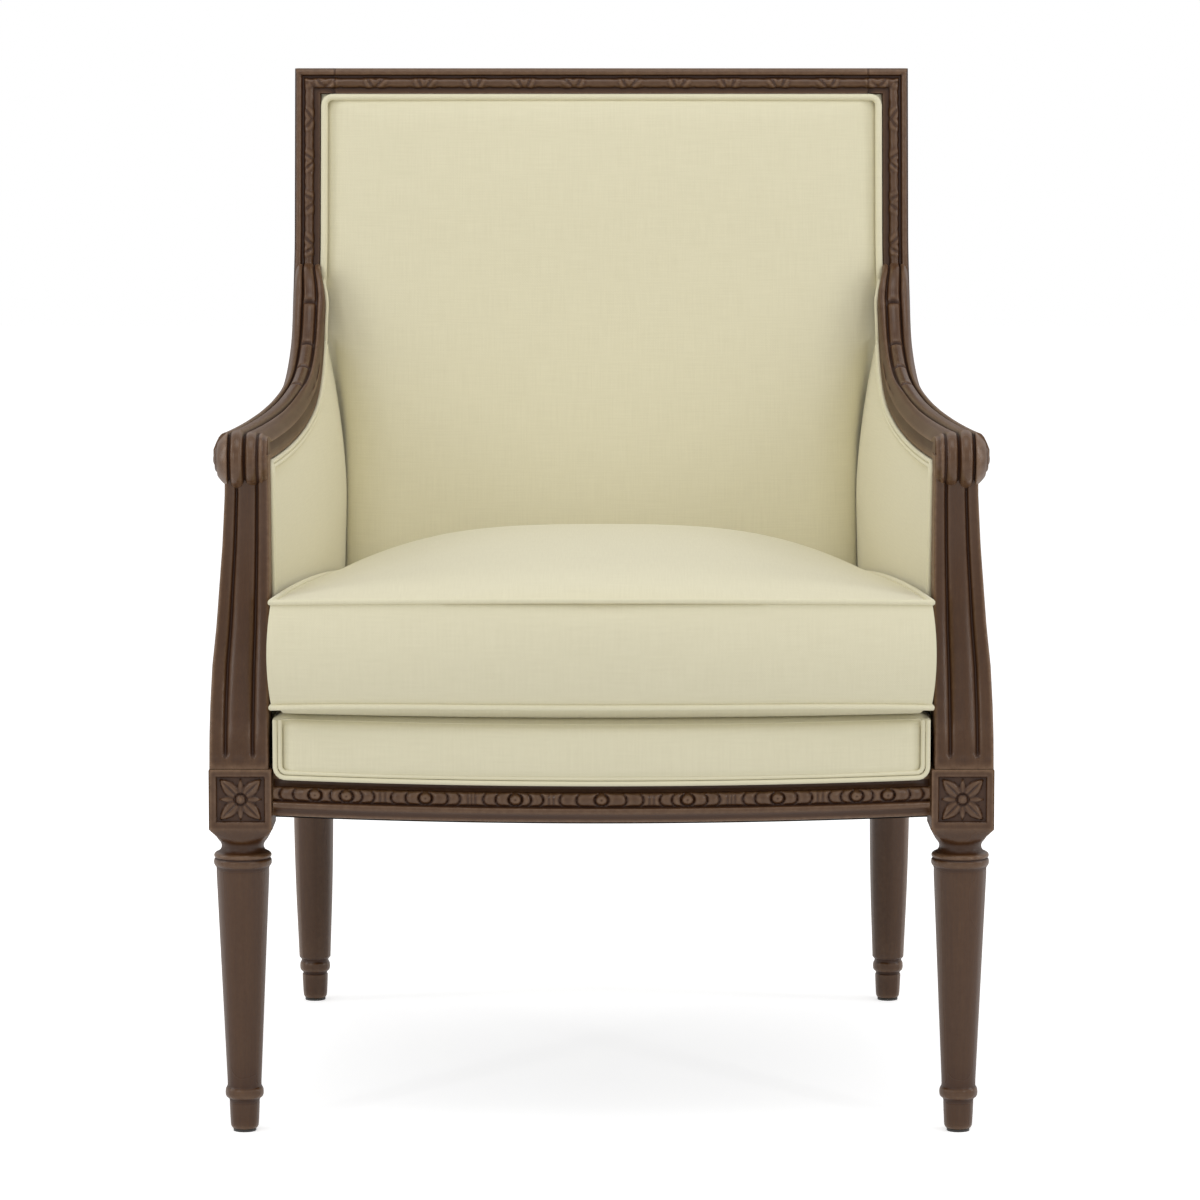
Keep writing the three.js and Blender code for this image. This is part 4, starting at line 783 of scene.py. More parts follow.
def edge_round(distance, radius):
    """Depth below the face near a rounded edge, by the distance from the edge."""
    near = np.clip(radius - distance, 0, radius)
    return radius - np.sqrt(np.clip(radius**2 - near**2, 0, None))


# Ribbon bead of the show-wood: its place from the edge, its ground, and the reach of a knot
BEAD_PLACE = 14.1
BEAD_GROUND = 4.2
KNOT_REACH = 14.5
# Where the knots are counted from, on the stiles and on the top rail
STILE_START, TOP_START = 747.0, 28.0


def show_moulding(from_edge, along, pitch, wood):
    """Depth below the face of the show-wood frame: fillet, groove, ribbon bead and cove."""
    base = np.interp(
        from_edge,
        (0, 0.6, 1.6, 3.0, 4.8, 6.0, 6.8, 7.6, 8.9, 9.5, 18.6, 19.3, 20.2, 21.6, 23.2, 24.5),
        (3.2, 1.8, 0.7, 0.1, 0.2, 0.9, 2.8, 5.0, 5.0, 4.2, 4.2, 5.6, 6.2, 5.8, 4.8, 5.2))
    half = wood.bead_width / MM / 2
    pitch = pitch / MM
    place = (along / pitch - np.round(along / pitch)) * pitch
    away = np.abs(place)
    leaf = ramp(KNOT_REACH - away, 0, 6)
    across = (from_edge - BEAD_PLACE) / half
    wide = 1 + 0.1 * leaf * np.sin(np.clip(away / KNOT_REACH, 0, 1) * math.pi)
    bead = dome(across, wide - 0.08 * notch(away - 15, 3))
    lean_in = away + (3.4 + 1.2 * np.sin(along * 0.11)) * across + 0.8 * np.sin(along * 0.37)
    turns = 0.5 + 0.5 * np.cos(2 * math.pi * lean_in / 9.4)
    cuts = notch(lean_in - 4.4, 2.0) + 0.7 * notch(lean_in - 12.6, 2.2)
    relief = wood.ribbon_relief / MM
    height = 3.6 + leaf * relief * (0.1 + 0.7 * turns) - 0.75 * cuts * leaf
    height = height - 0.5 * notch(place, 1.8)
    return np.clip(np.minimum(base, BEAD_GROUND - bead * height), -0.5, None)


def flower(a, b, wood):
    """Depth below the face of a leg block: border, sunk panel, four petals, leaf tips and boss."""
    depth = wood.panel_depth / MM
    reach = wood.petal_length / MM
    tall = (BLOCK_TOP - BLOCK_BOTTOM) / 2
    border = BLOCK_HALF - np.maximum(np.abs(a), np.abs(b) * BLOCK_HALF / tall)
    ground = depth * ramp(border, 6.0, 7.4)
    a, b = np.abs(a), np.abs(b)
    along, across = (a + b) / math.sqrt(2), (a - b) / math.sqrt(2)
    share = np.clip((along - 2.5) / reach, 0, 1)
    half = 0.4 + 5.6 * np.sin(math.pi * share**0.85)
    petal = dome(across, half) * (1.7 + 1.2 * share) * (share > 0) * (share < 1)
    petal = petal - 1.1 * notch(across, 0.9) * (petal > 0.5) + 0.35 * (petal > 0.3)
    tip_along, tip_across = np.maximum(a, b), np.minimum(a, b)
    tip_share = np.clip((tip_along - 5.5) / 12.5, 0, 1)
    tip = dome(tip_across, 0.2 + 2.7 * np.sin(math.pi * tip_share**0.7)) * 1.7
    tip = tip * (tip_share > 0) * (tip_share < 1)
    radius = np.hypot(a, b)
    boss = 3.1 * dome(radius, 4.3) - 0.8 * notch(radius - 2.2, 0.5)
    raised = np.maximum(np.maximum(petal, tip), boss)
    raised = raised * (1 - 0.9 * notch(radius - 5.0, 0.8))
    return np.clip(ground - np.clip(raised, 0, None) * (ground > 0.4 * depth), -0.3, None)


# Right half of the front rail's row, from its middle out: coins, the grooves that bow away
# from the middle, those that bow towards it, and the thin upright cuts of the reels
FRONT_ROW = {
    "coins": (0, 73.9, 151.3, 219.8, 247.2),
    "outward": (21.5, 36.0, 90.9, 101.6, 168.5, 181.1, 234.2, 266.5, 278.5),
    "inward": (50.0, 60.4, 121.4, 131.9, 195.6, 206.0),
    "cuts": (41.0, 45.0, 108.5, 111.5, 114.5, 186.0, 190.5),
}
# One bay of a side rail's row, from a coin to the middle between two coins
SIDE_BAY = 77.0
SIDE_ROW = {"coins": (0,), "outward": (17.0, 28.5), "inward": (), "cuts": (35.0, 38.5)}


# The row on a rail's face: its middle above the rail's foot, its half height, its ground and
# the radius of its grooves
ROW_PLACE, ROW_HALF, ROW_GROUND, ROW_CURL = 19.8, 5.7, 4.6, 7.0


def coin_row(along, up, row, wood):
    """Height of the carved row: coins, the crescents that lap them, and reels between."""
    radius = wood.coin_radius / MM
    relief = wood.coin_relief / MM
    curl = ROW_CURL - np.sqrt(np.clip(ROW_CURL**2 - np.clip(up, -6, 6) ** 2, 0, None))
    near = np.full(np.broadcast_shapes(along.shape, up.shape), 99.0)
    for name, bend in (("outward", 1), ("inward", -1)):
        for place in row[name]:
            near = np.minimum(near, np.abs(along + bend * curl - place))
    for place in row["cuts"]:
        near = np.minimum(near, np.abs(along - place) + 1.2)
    for place in row["coins"]:
        near = np.minimum(near, np.abs(np.hypot(along - place, up) - radius - 1.0))
    height = relief * (1.0 - 0.95 * (1 - dome(np.clip(4.4 - near, 0, 4.4), 4.4)))
    for place in row["coins"]:
        distance = np.hypot(along - place, up)
        coin = relief * 1.25 * dome(distance, radius + 0.6) - 0.3 * relief * notch(distance, 1.1)
        height = np.where(distance < radius + 1.0, coin, height)
    return np.clip(height, -0.3, None) * dome(up, ROW_HALF)


def rail_face(along, height, row, wood):
    """Depth below the face of a seat rail's show-wood."""
    base = np.interp(
        height - RAIL_BOTTOM,
        (0, 0.8, 2.2, 4.2, 6.2, 7.6, 8.2, 9.0, 11.8, 12.6, 13.4, 14.4, 25.2, 26.2, 28.8, 31, 32),
        (7.0, 5.4, 4.6, 4.0, 2.8, 1.5, 1.0, 0.5, 0.6, 1.3, 3.6, 4.6, 4.6, 6.6, 8.2, 8.4, 8.4))
    if row is None:
        return base
    up = height - RAIL_BOTTOM - ROW_PLACE
    return np.where(np.abs(up) < ROW_HALF, ROW_GROUND - coin_row(along, up, row, wood), base)


# Bands of an arm: shares of its width from outside, and depths below its crown
ARM_BANDS = (
    (0, 0.03, 0.08, 0.135, 0.2, 0.25, 0.27, 0.285, 0.30, 0.315, 0.33, 0.36, 0.40, 0.45, 0.50, 0.54,
     0.56, 0.575, 0.588, 0.60, 0.615, 0.65, 0.70, 0.75, 0.79, 0.81, 0.825, 0.84, 0.86, 0.885,
     0.91, 0.93, 0.96, 1),
    (5.6, 2.8, 0.8, 0.1, 0.8, 2.2, 3.4, 4.9, 5.6, 4.9, 2.9, 1.1, 0.3, 0, 0.4, 1.6,
     3.2, 4.9, 5.6, 4.9, 3.0, 1.9, 1.6, 2.0, 3.0, 4.4, 5.0, 4.4, 3.4, 3.1,
     3.6, 4.6, 5.2, 6.6),
)
# Where the bands' borders are at the scroll and where the arm meets the stile
SCROLL_SHARES = (0, 0.27, 0.33, 0.566, 0.604, 0.81, 0.89, 1)
STILE_SHARES = (0, 0.27, 0.33, 0.70, 0.765, 0.985, 0.993, 1)
# Depths of the outer band behind the scroll, where its outer side falls away
OUTER_BAND = ((0, 0.05, 0.1, 0.14, 0.17, 0.2, 0.23, 0.25, 0.27, 0.285, 0.3, 0.315, 0.33),
              (17, 11, 6.2, 4, 3, 2.5, 2.6, 3.1, 4.3, 5.6, 6.2, 5.2, 2.9))


def arm_bands(share):
    """Depth below the crown of an arm, by the share of its width from outside."""
    fine = np.linspace(0, 1, 401)
    depth = np.interp(fine, *ARM_BANDS)
    depth = np.convolve(np.pad(depth, 3, "edge"), np.ones(7) / 7, "valid")
    return np.interp(share, fine, depth)


# ---------------------------------------------------------------- show-wood forms


# Radii of rounded edges: those along a piece and those at its ends
EDGE, END_EDGE = 1.4, 1.2
# Gap between the end of a rail and the leg
RAIL_GAP = 0.3


def polygon_round(sides):
    """Places round a square of half side 1, from its front right corner, by (side, steps)."""
    corners = {"front": ((-1, -1), (1, -1)), "right": ((1, -1), (1, 1)),
               "back": ((1, 1), (-1, 1)), "left": ((-1, 1), (-1, -1))}
    parts = []
    for name, steps in sides:
        (x0, y0), (x1, y1) = corners[name]
        t = np.linspace(0, 1, steps, endpoint=False)
        parts.append(np.stack([mix(x0, x1, t), mix(y0, y1, t)], 1))
    places = np.concatenate(parts)
    return np.concatenate([places, places[:1]])


# Turned profiles: radius and height
FOOT_AND_RING = (
    (0, 2), (8.3, 2), (10.9, 2.7), (12.0, 4.6), (12.4, 8), (12.8, 16), (13.1, 24), (13.1, 27),
    (13.4, 28.6), (14.6, 29.6), (15.9, 30.6), (16.6, 32.4), (16.7, 35), (16.4, 37.4),
    (15.7, 38.9), (15.0, 39.8), (14.8, 41.5),
)
NECK = (
    (22.9, 230.5), (22.9, 232.6), (23.4, 234.2), (24.4, 235.2), (25.1, 236.8), (25.2, 238.6),
    (24.9, 240.2), (24.2, 241.1), (23.7, 241.6), (24.2, 242.1), (24.9, 243), (25, 244.2),
    (24.6, 245.3), (23.6, 246.3), (21.8, 247.1), (20.2, 248), (19, 249.4), (18.4, 251),
    (18.3, 252.4), (18.6, 254), (19.4, 255.6), (20.6, 257),
)


def turned_rows(profile, shares, spread_x, spread_y, centre):
    """Rows of a turned part, with the columns that its square block has."""
    reach = np.hypot(shares[:, 0] * spread_x, shares[:, 1] * spread_y)
    away = np.stack([shares[:, 0] * spread_x, shares[:, 1] * spread_y], 1) / reach[:, None]
    rows = []
    for radius, height in profile:
        rows.append(level(np.array(centre(height)) + away * radius, height))
    return rows


def level(flat, z):
    """One row of points at a height."""
    return np.column_stack([flat, np.full(len(flat), float(z))])


def fine_profile(profile, spacing):
    return even_line(np.asarray(profile, float), spacing)


def front_leg_form(side, wood):
    """Turned and tapered leg whose square block carries a flower on both outer faces."""
    shares = polygon_round([("front", 60), ("right", 60), ("back", 16), ("left", 16)])
    rows = turned_rows(
        [*fine_profile(FOOT_AND_RING, 0.9), *np.linspace((14.9, 46), (22.9, 227), 24),
         *fine_profile(NECK, 0.7)],
        shares, 1, 1, lambda z: (0, 0))
    neck = rows[-1][:, :2]
    square = shares * BLOCK_HALF
    a, b = square.T
    for t in np.linspace(0, 1, 9)[1:]:
        rows.append(level(mix(neck, square, t**0.85), mix(NECK[-1][1], BLOCK_BOTTOM, t)))
    for z in [*np.linspace(BLOCK_BOTTOM, BLOCK_TOP, 61)[1:], BLOCK_TOP]:
        up = z - (BLOCK_BOTTOM + BLOCK_TOP) / 2
        ends = edge_round(min(z - BLOCK_BOTTOM + 0.6, BLOCK_TOP - z + 0.25), END_EDGE)
        corners = edge_round(BLOCK_HALF - np.minimum(np.abs(a), np.abs(b)), EDGE)
        on_front = b <= -BLOCK_HALF + 1e-6
        on_right = a >= BLOCK_HALF - 1e-6
        depth_y = np.where(on_front, flower(a, np.full_like(a, up), wood), 0)
        depth_x = np.where(on_right & ~on_front, flower(b, np.full_like(a, up), wood), 0)
        x = a - depth_x - np.sign(a) * ends - np.sign(a) * (np.abs(a) >= BLOCK_HALF) * corners
        y = b + depth_y - np.sign(b) * ends - np.sign(b) * (np.abs(b) >= BLOCK_HALF) * corners
        rows.append(level(np.stack([x, y], 1), z))
    loops = np.array(rows)
    loops[..., 0] = side * (loops[..., 0] + FRONT_X)
    return lofted(loops)


BACK_SHAFT = ((15.4, 44), (16.0, 60), (17.9, 110), (19.1, 160), (19.5, 205), (19.5, 262))
# Half sizes of the back leg's seat block and its middle from front to back
POST_HALF_X, POST_HALF_Y = 19.5, 20
POST_MIDDLE = (POST_FRONT + POST_BACK) / 2


def back_leg_rows(shares):
    """Turned back leg that rakes back to its foot."""
    profile = [(r - 0.6 if z < 27 else r * 0.89, z) for r, z in fine_profile(FOOT_AND_RING, 0.9)]
    profile += [tuple(p) for p in smooth_line(BACK_SHAFT, 7)]
    return turned_rows(profile, shares, POST_HALF_X, POST_HALF_Y, lambda z: (
        BACK_X, POST_MIDDLE + FOOT_RAKE * max(0, 1 - z / BLOCK_BOTTOM)))


def back_post_form(side, wood):
    """Back leg, seat block and leaning stile in one length, with the ribbon bead in front."""
    front = spread((POST_OUTER, 36), (POST_OUTER - SHOW_WOOD, 8), (POST_INNER, 1))
    inner = spread((POST_FRONT, 5), (POST_FRONT + FRONT_REBATE, 6), (POST_BACK - BACK_REBATE, 3),
                   (POST_BACK, 1))
    outline = [(x, POST_FRONT) for x in front] + [(POST_INNER, y) for y in inner[1:]]
    outline += [(x, POST_BACK) for x in
                spread((POST_INNER, 4), (POST_OUTER - SHOW_WOOD, 6), (POST_OUTER - EDGE, 3),
                       (POST_OUTER, 1))[1:]]
    outline += [(POST_OUTER, y) for y in
                spread((POST_BACK, 3), (POST_BACK - EDGE, 8), (POST_FRONT + 2.4, 3),
                       (POST_FRONT, 1))[1:]]
    outline = np.array(outline, float)
    rows = back_leg_rows((outline - (BACK_X, POST_MIDDLE)) / (POST_HALF_X, POST_HALF_Y))
    shaft = rows[-1][:, :2]
    x, y = outline.T
    for t in np.linspace(0, 1, 8)[1:]:
        rows.append(level(mix(shaft, outline, t), mix(BACK_SHAFT[-1][1], BLOCK_BOTTOM, t)))
    on_front = y <= POST_FRONT + 1e-6
    on_back = y >= POST_BACK - 1e-6
    in_rebate = x < POST_OUTER - SHOW_WOOD - 1e-6
    for z in (275, 282, 290, 298, 306, SHOW_TOP + 0.2, SHOW_TOP + 0.6, 322, 330, 338, 346,
              RAIL_TOP):
        cut = np.where(on_back & in_rebate & (z > SHOW_TOP + 0.4), BACK_REBATE, 0)
        rows.append(level(np.stack([x, y - cut], 1), z))
    heights = np.concatenate([np.linspace(RAIL_TOP, 700, 60)[1:],
                              np.arange(701.2, HEIGHT - 27, 1.0),
                              np.arange(HEIGHT - 27, HEIGHT - 0.01, 0.7), [HEIGHT - 0.15, HEIGHT]])
    for z in heights:
        below = z < HEIGHT - SHOW_WOOD
        from_top = HEIGHT - z
        from_side = POST_OUTER - x
        from_edge = np.minimum(from_side, from_top)
        upright = from_side < from_top
        along = np.where(upright, z - STILE_START, x - TOP_START)
        pitch = np.where(upright, wood.side_pitch, wood.top_pitch)
        depth = show_moulding(np.minimum(from_edge, SHOW_WOOD), along, pitch, wood)
        front_y = POST_FRONT + np.where(in_rebate & below, FRONT_REBATE, depth)
        back_y = POST_BACK - np.where(in_rebate & below, BACK_REBATE, 0)
        back_y = back_y - edge_round(from_side, EDGE) - edge_round(from_top, END_EDGE)
        place = np.clip(y, np.where(below, POST_FRONT + FRONT_REBATE, POST_FRONT + 2.2),
                        np.where(below, POST_BACK - BACK_REBATE, POST_BACK))
        side_y = np.clip(y, POST_FRONT + 2.4, POST_BACK - EDGE)
        place = np.where(x > POST_INNER + 1, side_y, place)
        place = np.where(on_front, front_y, np.where(on_back, back_y, place))
        rows.append(level(np.stack([x, place + lean(z)], 1), z))
    loops = np.array(rows)
    loops[..., 0] *= side
    return lofted(loops)


def top_rail_form(wood):
    """Rail between the stiles, with the same ribbon bead."""
    half = POST_INNER - 0.04
    down = spread((0, 37), (SHOW_WOOD, 1))
    x = np.linspace(-half, half, 560)
    along = np.abs(x)[:, None] - TOP_START
    depth = show_moulding(down[None, :], along, wood.top_pitch, wood)
    height = HEIGHT - down
    # Rebate for the pad, tacking strip, back face and rounded top edge
    fixed = [(POST_FRONT + FRONT_REBATE, HEIGHT - SHOW_WOOD),
             (POST_FRONT + FRONT_REBATE, HEIGHT - SHOW_WOOD - TACKING),
             (POST_BACK - BACK_REBATE, HEIGHT - SHOW_WOOD - TACKING),
             (POST_BACK - BACK_REBATE, HEIGHT - SHOW_WOOD), (POST_BACK, HEIGHT - SHOW_WOOD),
             (POST_BACK, HEIGHT - EDGE), (POST_BACK - 0.4, HEIGHT - 0.4),
             (POST_BACK - EDGE, HEIGHT),
             (POST_FRONT + 6, HEIGHT)]
    fixed_y, fixed_z = np.array(fixed).T
    front = np.stack(np.broadcast_arrays(x[:, None], POST_FRONT + depth, height), 2)
    rest = np.stack(np.broadcast_arrays(x[:, None], fixed_y, fixed_z), 2)
    loops = np.concatenate([front, rest, front[:, :1]], 1)
    loops[..., 1] += lean(loops[..., 2])
    return lofted(loops)


def rail_form(run, face, inward, row, wood):
    """Seat rail: rows along its run, a carved face below and the cover's rebate above."""
    up = spread((RAIL_BOTTOM, 44), (SHOW_TOP, 1))
    depth = rail_face(run[:, None], up[None, :], row, wood) + 0 * run[:, None]
    back = [(COVER_REBATE, SHOW_TOP), (COVER_REBATE, RAIL_TOP - 1), (COVER_REBATE + 1, RAIL_TOP),
            (RAIL_THICKNESS - 1, RAIL_TOP), (RAIL_THICKNESS, RAIL_TOP - 1),
            (RAIL_THICKNESS, RAIL_BOTTOM + 1), (RAIL_THICKNESS - 1, RAIL_BOTTOM)]
    back_depth, back_height = np.array(back).T
    back_depth = np.broadcast_to(back_depth, (len(run), len(back)))
    depths = np.concatenate([depth, back_depth], 1)
    heights = np.broadcast_to(np.concatenate([up, back_height]), depths.shape)
    places = face[:, None, :] + depths[..., None] * inward[:, None, :]
    loops = np.concatenate([places, heights[..., None]], 2)
    return lofted(np.concatenate([loops, loops[:, :1]], 1))


def front_rail_form(wood):
    x = np.linspace(-BLOCK_INNER + RAIL_GAP, BLOCK_INNER - RAIL_GAP, 712)
    face = np.stack([x, bow(x)], 1)
    inward = np.broadcast_to((0.0, 1.0), face.shape)
    return rail_form(np.abs(x), face, inward, FRONT_ROW, wood)


def side_rail_form(side, wood):
    y = np.linspace(BLOCK_HALF + RAIL_GAP, POST_FRONT - RAIL_GAP, 600)
    face = np.stack([side * side_line(y), y], 1)
    inward = np.broadcast_to((-side * 1.0, 0.0), face.shape)
    bay = (y - (y[0] + y[-1]) / 2) / SIDE_BAY
    return rail_form(np.abs(bay - np.round(bay)) * SIDE_BAY, face, inward, SIDE_ROW, wood)


def back_rail_form(wood):
    x = np.linspace(-POST_INNER + RAIL_GAP, POST_INNER - RAIL_GAP, 40)
    face = np.stack([x, np.full_like(x, POST_BACK - 2)], 1)
    inward = np.broadcast_to((0.0, -1.0), face.shape)
    return rail_form(x, face, inward, None, wood)


def stump_form(side, wood):
    """Curved stump with a reed between two grooves on its front."""
    course = smooth_line(STUMP_COURSE, 2.2)
    shares = spread((0, 72), (1, 1))
    flute = wood.flute_depth / MM
    strips = np.maximum(dome(shares - 0.08, 0.22), dome(shares - 0.92, 0.22))
    reed = dome(shares - 0.5, 0.26)
    lines = notch(shares - 0.27, 0.03) + notch(shares - 0.73, 0.03)
    rows = []
    for z, front_y, back_y in course:
        outer = np.interp(z, *STUMP_OUTER)
        depth = flute * (1 - np.maximum(strips, reed) + 0.3 * lines) * ramp(z, 330, 336)
        depth = mix(0.6, depth, ramp(z, 329, 335))
        width = outer - STUMP_INNER
        depth = depth + edge_round(np.minimum(shares, 1 - shares) * width, 1.8)
        front = np.stack([outer - shares * width, front_y + depth], 1)
        sides = np.array([(STUMP_INNER, front_y + 6), (STUMP_INNER, back_y - 2),
                          (STUMP_INNER + 2, back_y), (outer - 2, back_y),
                          (outer - 0.6, back_y - 0.6), (outer, back_y - 2), (outer, front_y + 12),
                          (outer, front_y + 4)])
        rows.append(level(np.concatenate([front, sides, front[:1]]), z))
    loops = np.array(rows)
    loops[..., 0] *= side
    return lofted(loops)


# Cuts across an arm's middle bead, counted down from the stile
HUSK_CUTS = (57, 108.5, 150.5, 196)


def husks(from_top):
    """Cuts across an arm's middle bead below the stile, and the swell of the husks between."""
    cuts = sum(notch(from_top - place, 2.2) for place in HUSK_CUTS)
    fullness = np.interp(
        from_top, (57, 62, 85, 105, 108.5, 113, 130, 147, 150.5, 155, 172, 192, 196),
        (0, 0.9, 1, 0.3, 0, 0.9, 1, 0.3, 0, 0.9, 1, 0.3, 0))
    return cuts, fullness


def arm_form(side):
    """Moulded arm that sweeps up the stile, with its scroll."""
    course = smooth_line(ARM_CROWN, 1.5)
    y, z, narrowing = course.T
    ahead = np.gradient(course[:, :2], axis=0)
    ahead /= np.linalg.norm(ahead, axis=1)[:, None]
    out_y, out_z = -ahead[:, 1], ahead[:, 0]
    run = np.append(0, np.cumsum(np.linalg.norm(np.diff(course[:, :2], axis=0), axis=1)))
    from_top = run[-1] - run
    outer = mix(*ARM_OUTER, narrowing)
    width = mix(*ARM_WIDTH, narrowing) - 6.5 * ramp(55 - from_top, 0, 50)
    share = np.linspace(0, 1, 72)
    depth = np.empty((len(run), len(share)))
    upward = np.clip(narrowing, 0, 1)
    for i, towards in enumerate(upward):
        borders = mix(np.array(SCROLL_SHARES), np.array(STILE_SHARES), towards)
        depth[i] = arm_bands(np.interp(share, borders, SCROLL_SHARES))
    smooth = np.interp(share, (0.68, 0.74, 1), (1.6, 2.0, 6.6))
    plain = ramp(run, 6, 34) * (1 - ramp(narrowing, 0.6, 1.0))
    depth = np.where(share > 0.7, mix(depth, smooth[None, :], plain[:, None]), depth)
    depth *= (width / ARM_WIDTH[0])[:, None] ** 0.5
    cuts, fullness = husks(from_top)
    bead = dome(share[None, :] - mix(0.448, 0.53, upward)[:, None],
                mix(0.105, 0.19, upward)[:, None])
    depth = depth + bead * (2.8 * cuts - 1.1 * fullness)[:, None]
    behind = (1 - ramp(narrowing, 0.7, 1.15))[:, None]
    outer_band = np.interp(share, *OUTER_BAND)[None, :]
    depth = np.where(share < 0.33, mix(depth, outer_band, behind), depth)
    # The inner side falls away in a wide cove down to a thin bead.
    fall = ramp(run, 16, 60) * ramp(from_top, 20, 90)
    cove_share = np.array([1.0, 0.962, 0.985, 1.0, 1.0, 1.0, 0.985])
    cove_depth = np.array([7.5, 13, 19, 21.5, 23.5, 25, 26.6])
    flat_share = np.array([1.0, 1, 1, 1, 1, 1, 0.985])
    inner_share = cove_share[None, :] * fall[:, None] + flat_share * (1 - fall[:, None])
    outer_share = np.broadcast_to([0.95, 0.05, 0.015, 0, 0, 0], (len(run), 6))
    slope = np.clip((share - 0.81) / 0.19, 0, 1) ** 1.6
    depth = depth + 5.0 * slope[None, :] * fall[:, None]
    inner = np.maximum(cove_depth, depth[:, -1:] * (cove_depth < 14))
    outside = depth[:, :1] + (ARM_THICKNESS - 1 - depth[:, :1]) * np.array([0.8, 0.5, 0.22])
    below = np.broadcast_to(ARM_THICKNESS - np.array([0, 0, 1]), (len(run), 3))
    # Once round: over the crown from outside, down the inner side and back under the arm
    top_share = np.broadcast_to(share, depth.shape)
    shares = np.concatenate([top_share, inner_share, outer_share, top_share[:, :1]], 1)
    depths = np.concatenate([depth, inner, below, outside, depth[:, :1]], 1)
    loops = np.stack([outer[:, None] - shares * width[:, None],
                      y[:, None] - depths * out_y[:, None],
                      z[:, None] - depths * out_z[:, None]], 2)
    keep = from_top > 14
    tail = loops[~keep]
    tail[..., 2] = np.maximum(tail[..., 2], np.minimum(loops[keep][-1][None, :, 2], ARM_TOP))
    loops[~keep] = tail
    loops[..., 1] = np.minimum(loops[..., 1], stile_front(loops[..., 2]) + 1.5)
    loops[..., 0] *= side
    return gathered([lofted(loops), scroll_form(side)])


def scroll_form(side):
    """Rolled front of the arm: its bands carried round, with a turned disc on each side."""
    share = np.linspace(0, 1, 72)
    rim = np.stack([ARM_OUTER[0] - share * ARM_WIDTH[0], SCROLL_RADIUS - arm_bands(share)], 1)
    outer_end = [(0.4, 0), (0.2, 2.4), (-0.4, 4.2), (-1.6, 5.0), (-1.9, 5.8), (-1.2, 6.8),
                 (-1.3, 9), (-2.0, 10.4), (-3.2, 11.2), (-3.7, 12.0), (-3.3, 13.0), (-3.6, 14.5),
                 (-4.7, 16.3), (-6.6, 18.6), (-8.5, 20.5), (-10.5, 22.3), (-12.0, 23.4),
                 (-12.7, 23.2), (-13.1, 21.6)]
    inner_disc = [(0.6, 17.5), (1.2, 15), (1.4, 10), (1.2, 5), (1.1, 0)]
    profile = [(ARM_OUTER[0] + x, r) for x, r in outer_end]
    profile += [tuple(p) for p in rim[share > 0.285]]
    profile += [(ARM_OUTER[0] - ARM_WIDTH[0] + x, r) for x, r in inner_disc]
    profile = np.array(profile)
    turn = np.linspace(0, 2 * math.pi, 97)
    loops = np.stack([
        np.broadcast_to(side * profile[:, :1], (len(profile), len(turn))),
        SCROLL_PLACE[0] + profile[:, 1:] * np.sin(turn),
        SCROLL_PLACE[1] + profile[:, 1:] * np.cos(turn)], 2)
    return lofted(loops)


# ---------------------------------------------------------------- upholstery forms


# Gap between the cloth and the wood that it lies against
GAP = 0.6
# Spacing of the points along a cord
CORD_STEP = 3.0
# Crown of the outside panels and the arm pads
PANEL_CROWN = 3.0
BACK_LOW, BACK_HIGH = 370.8, 893.9
BACK_HALF = 278.4
# Length of the arm pads, their height, and where they end at the top
PAD_RUN, PAD_RISE, PAD_STOP = 560, 230, 615.3


def back_reach(z):
    """Half width of the inside back where it turns in behind the arm pads and the welt."""
    return mix(pad_line(POST_FRONT) + 7, BACK_HALF, ramp(z, 540, 745))


def back_front(x, z, crown):
    """Front face of the inside back pad, which rolls away at its edges and beside the arms."""
    u = np.clip(x / BACK_HALF, -1, 1)
    v = np.clip(mix(-1, 1, (z - BACK_LOW) / (BACK_HIGH - BACK_LOW)), -1, 1)
    edge = mix(44, 4, ramp(z, BACK_LOW, 768))
    proud = edge + crown * (1 - u * u) ** 1.5 * (1 - v * v)
    beside = rolled(back_reach(z) - np.abs(x), 54, mix(36, 18, ramp(z, 620, 760)))
    above = rolled(BACK_HIGH - z, 30, 11)
    return stile_front(z) - proud + np.maximum(beside, above)


def inside_back_form(seat):
    crown = seat.back_crown / MM

    def place(u, v, w):
        x = mix(u, np.sin(u * math.pi / 2), 0.35) * BACK_HALF
        z = mix(BACK_LOW, BACK_HIGH, (mix(v, np.sin(v * math.pi / 2), 0.35) + 1) / 2)
        back = stile_front(z) + FRONT_REBATE - GAP
        y = mix(back, np.minimum(back_front(x, z, crown), back - 0.5), (w + 1) / 2)
        return x, y, z

    return soft_block(80, 72, 1, place)


def corner_arc(x, z, radius, angles):
    """Round corner of a welt, about its middle in the plane of the panel."""
    return [(x + radius * math.cos(a), z + radius * math.sin(a)) for a in angles]


def both_halves(right):
    """Up or down the left half of a line and back along its right half."""
    right = np.array(right)
    return np.concatenate([right * (-1, 1), right[::-1]])


def inside_back_welt_form(cloth):
    """Single cord over the top of the inside back and down each side, to behind the arm."""
    radius = cloth.welt_radius / MM
    x = POST_OUTER - SHOW_WOOD - radius - 1.4
    top = HEIGHT - SHOW_WOOD - radius - 0.2
    corner = 7.5
    right = [(x, z) for z in np.linspace(700, 752, 24)] + [(x, top - corner)]
    right += corner_arc(x - corner, top - corner, corner, np.linspace(0, QUARTER, 9)[1:])
    line = even_line(both_halves(right), CORD_STEP)
    y = stile_front(line[:, 1]) + 0.4 + 8.0 * ramp(722 - line[:, 1], 0, 20)
    return cord_form(np.stack([line[:, 0], y, line[:, 1]], 1), radius, (0, -1, 0))


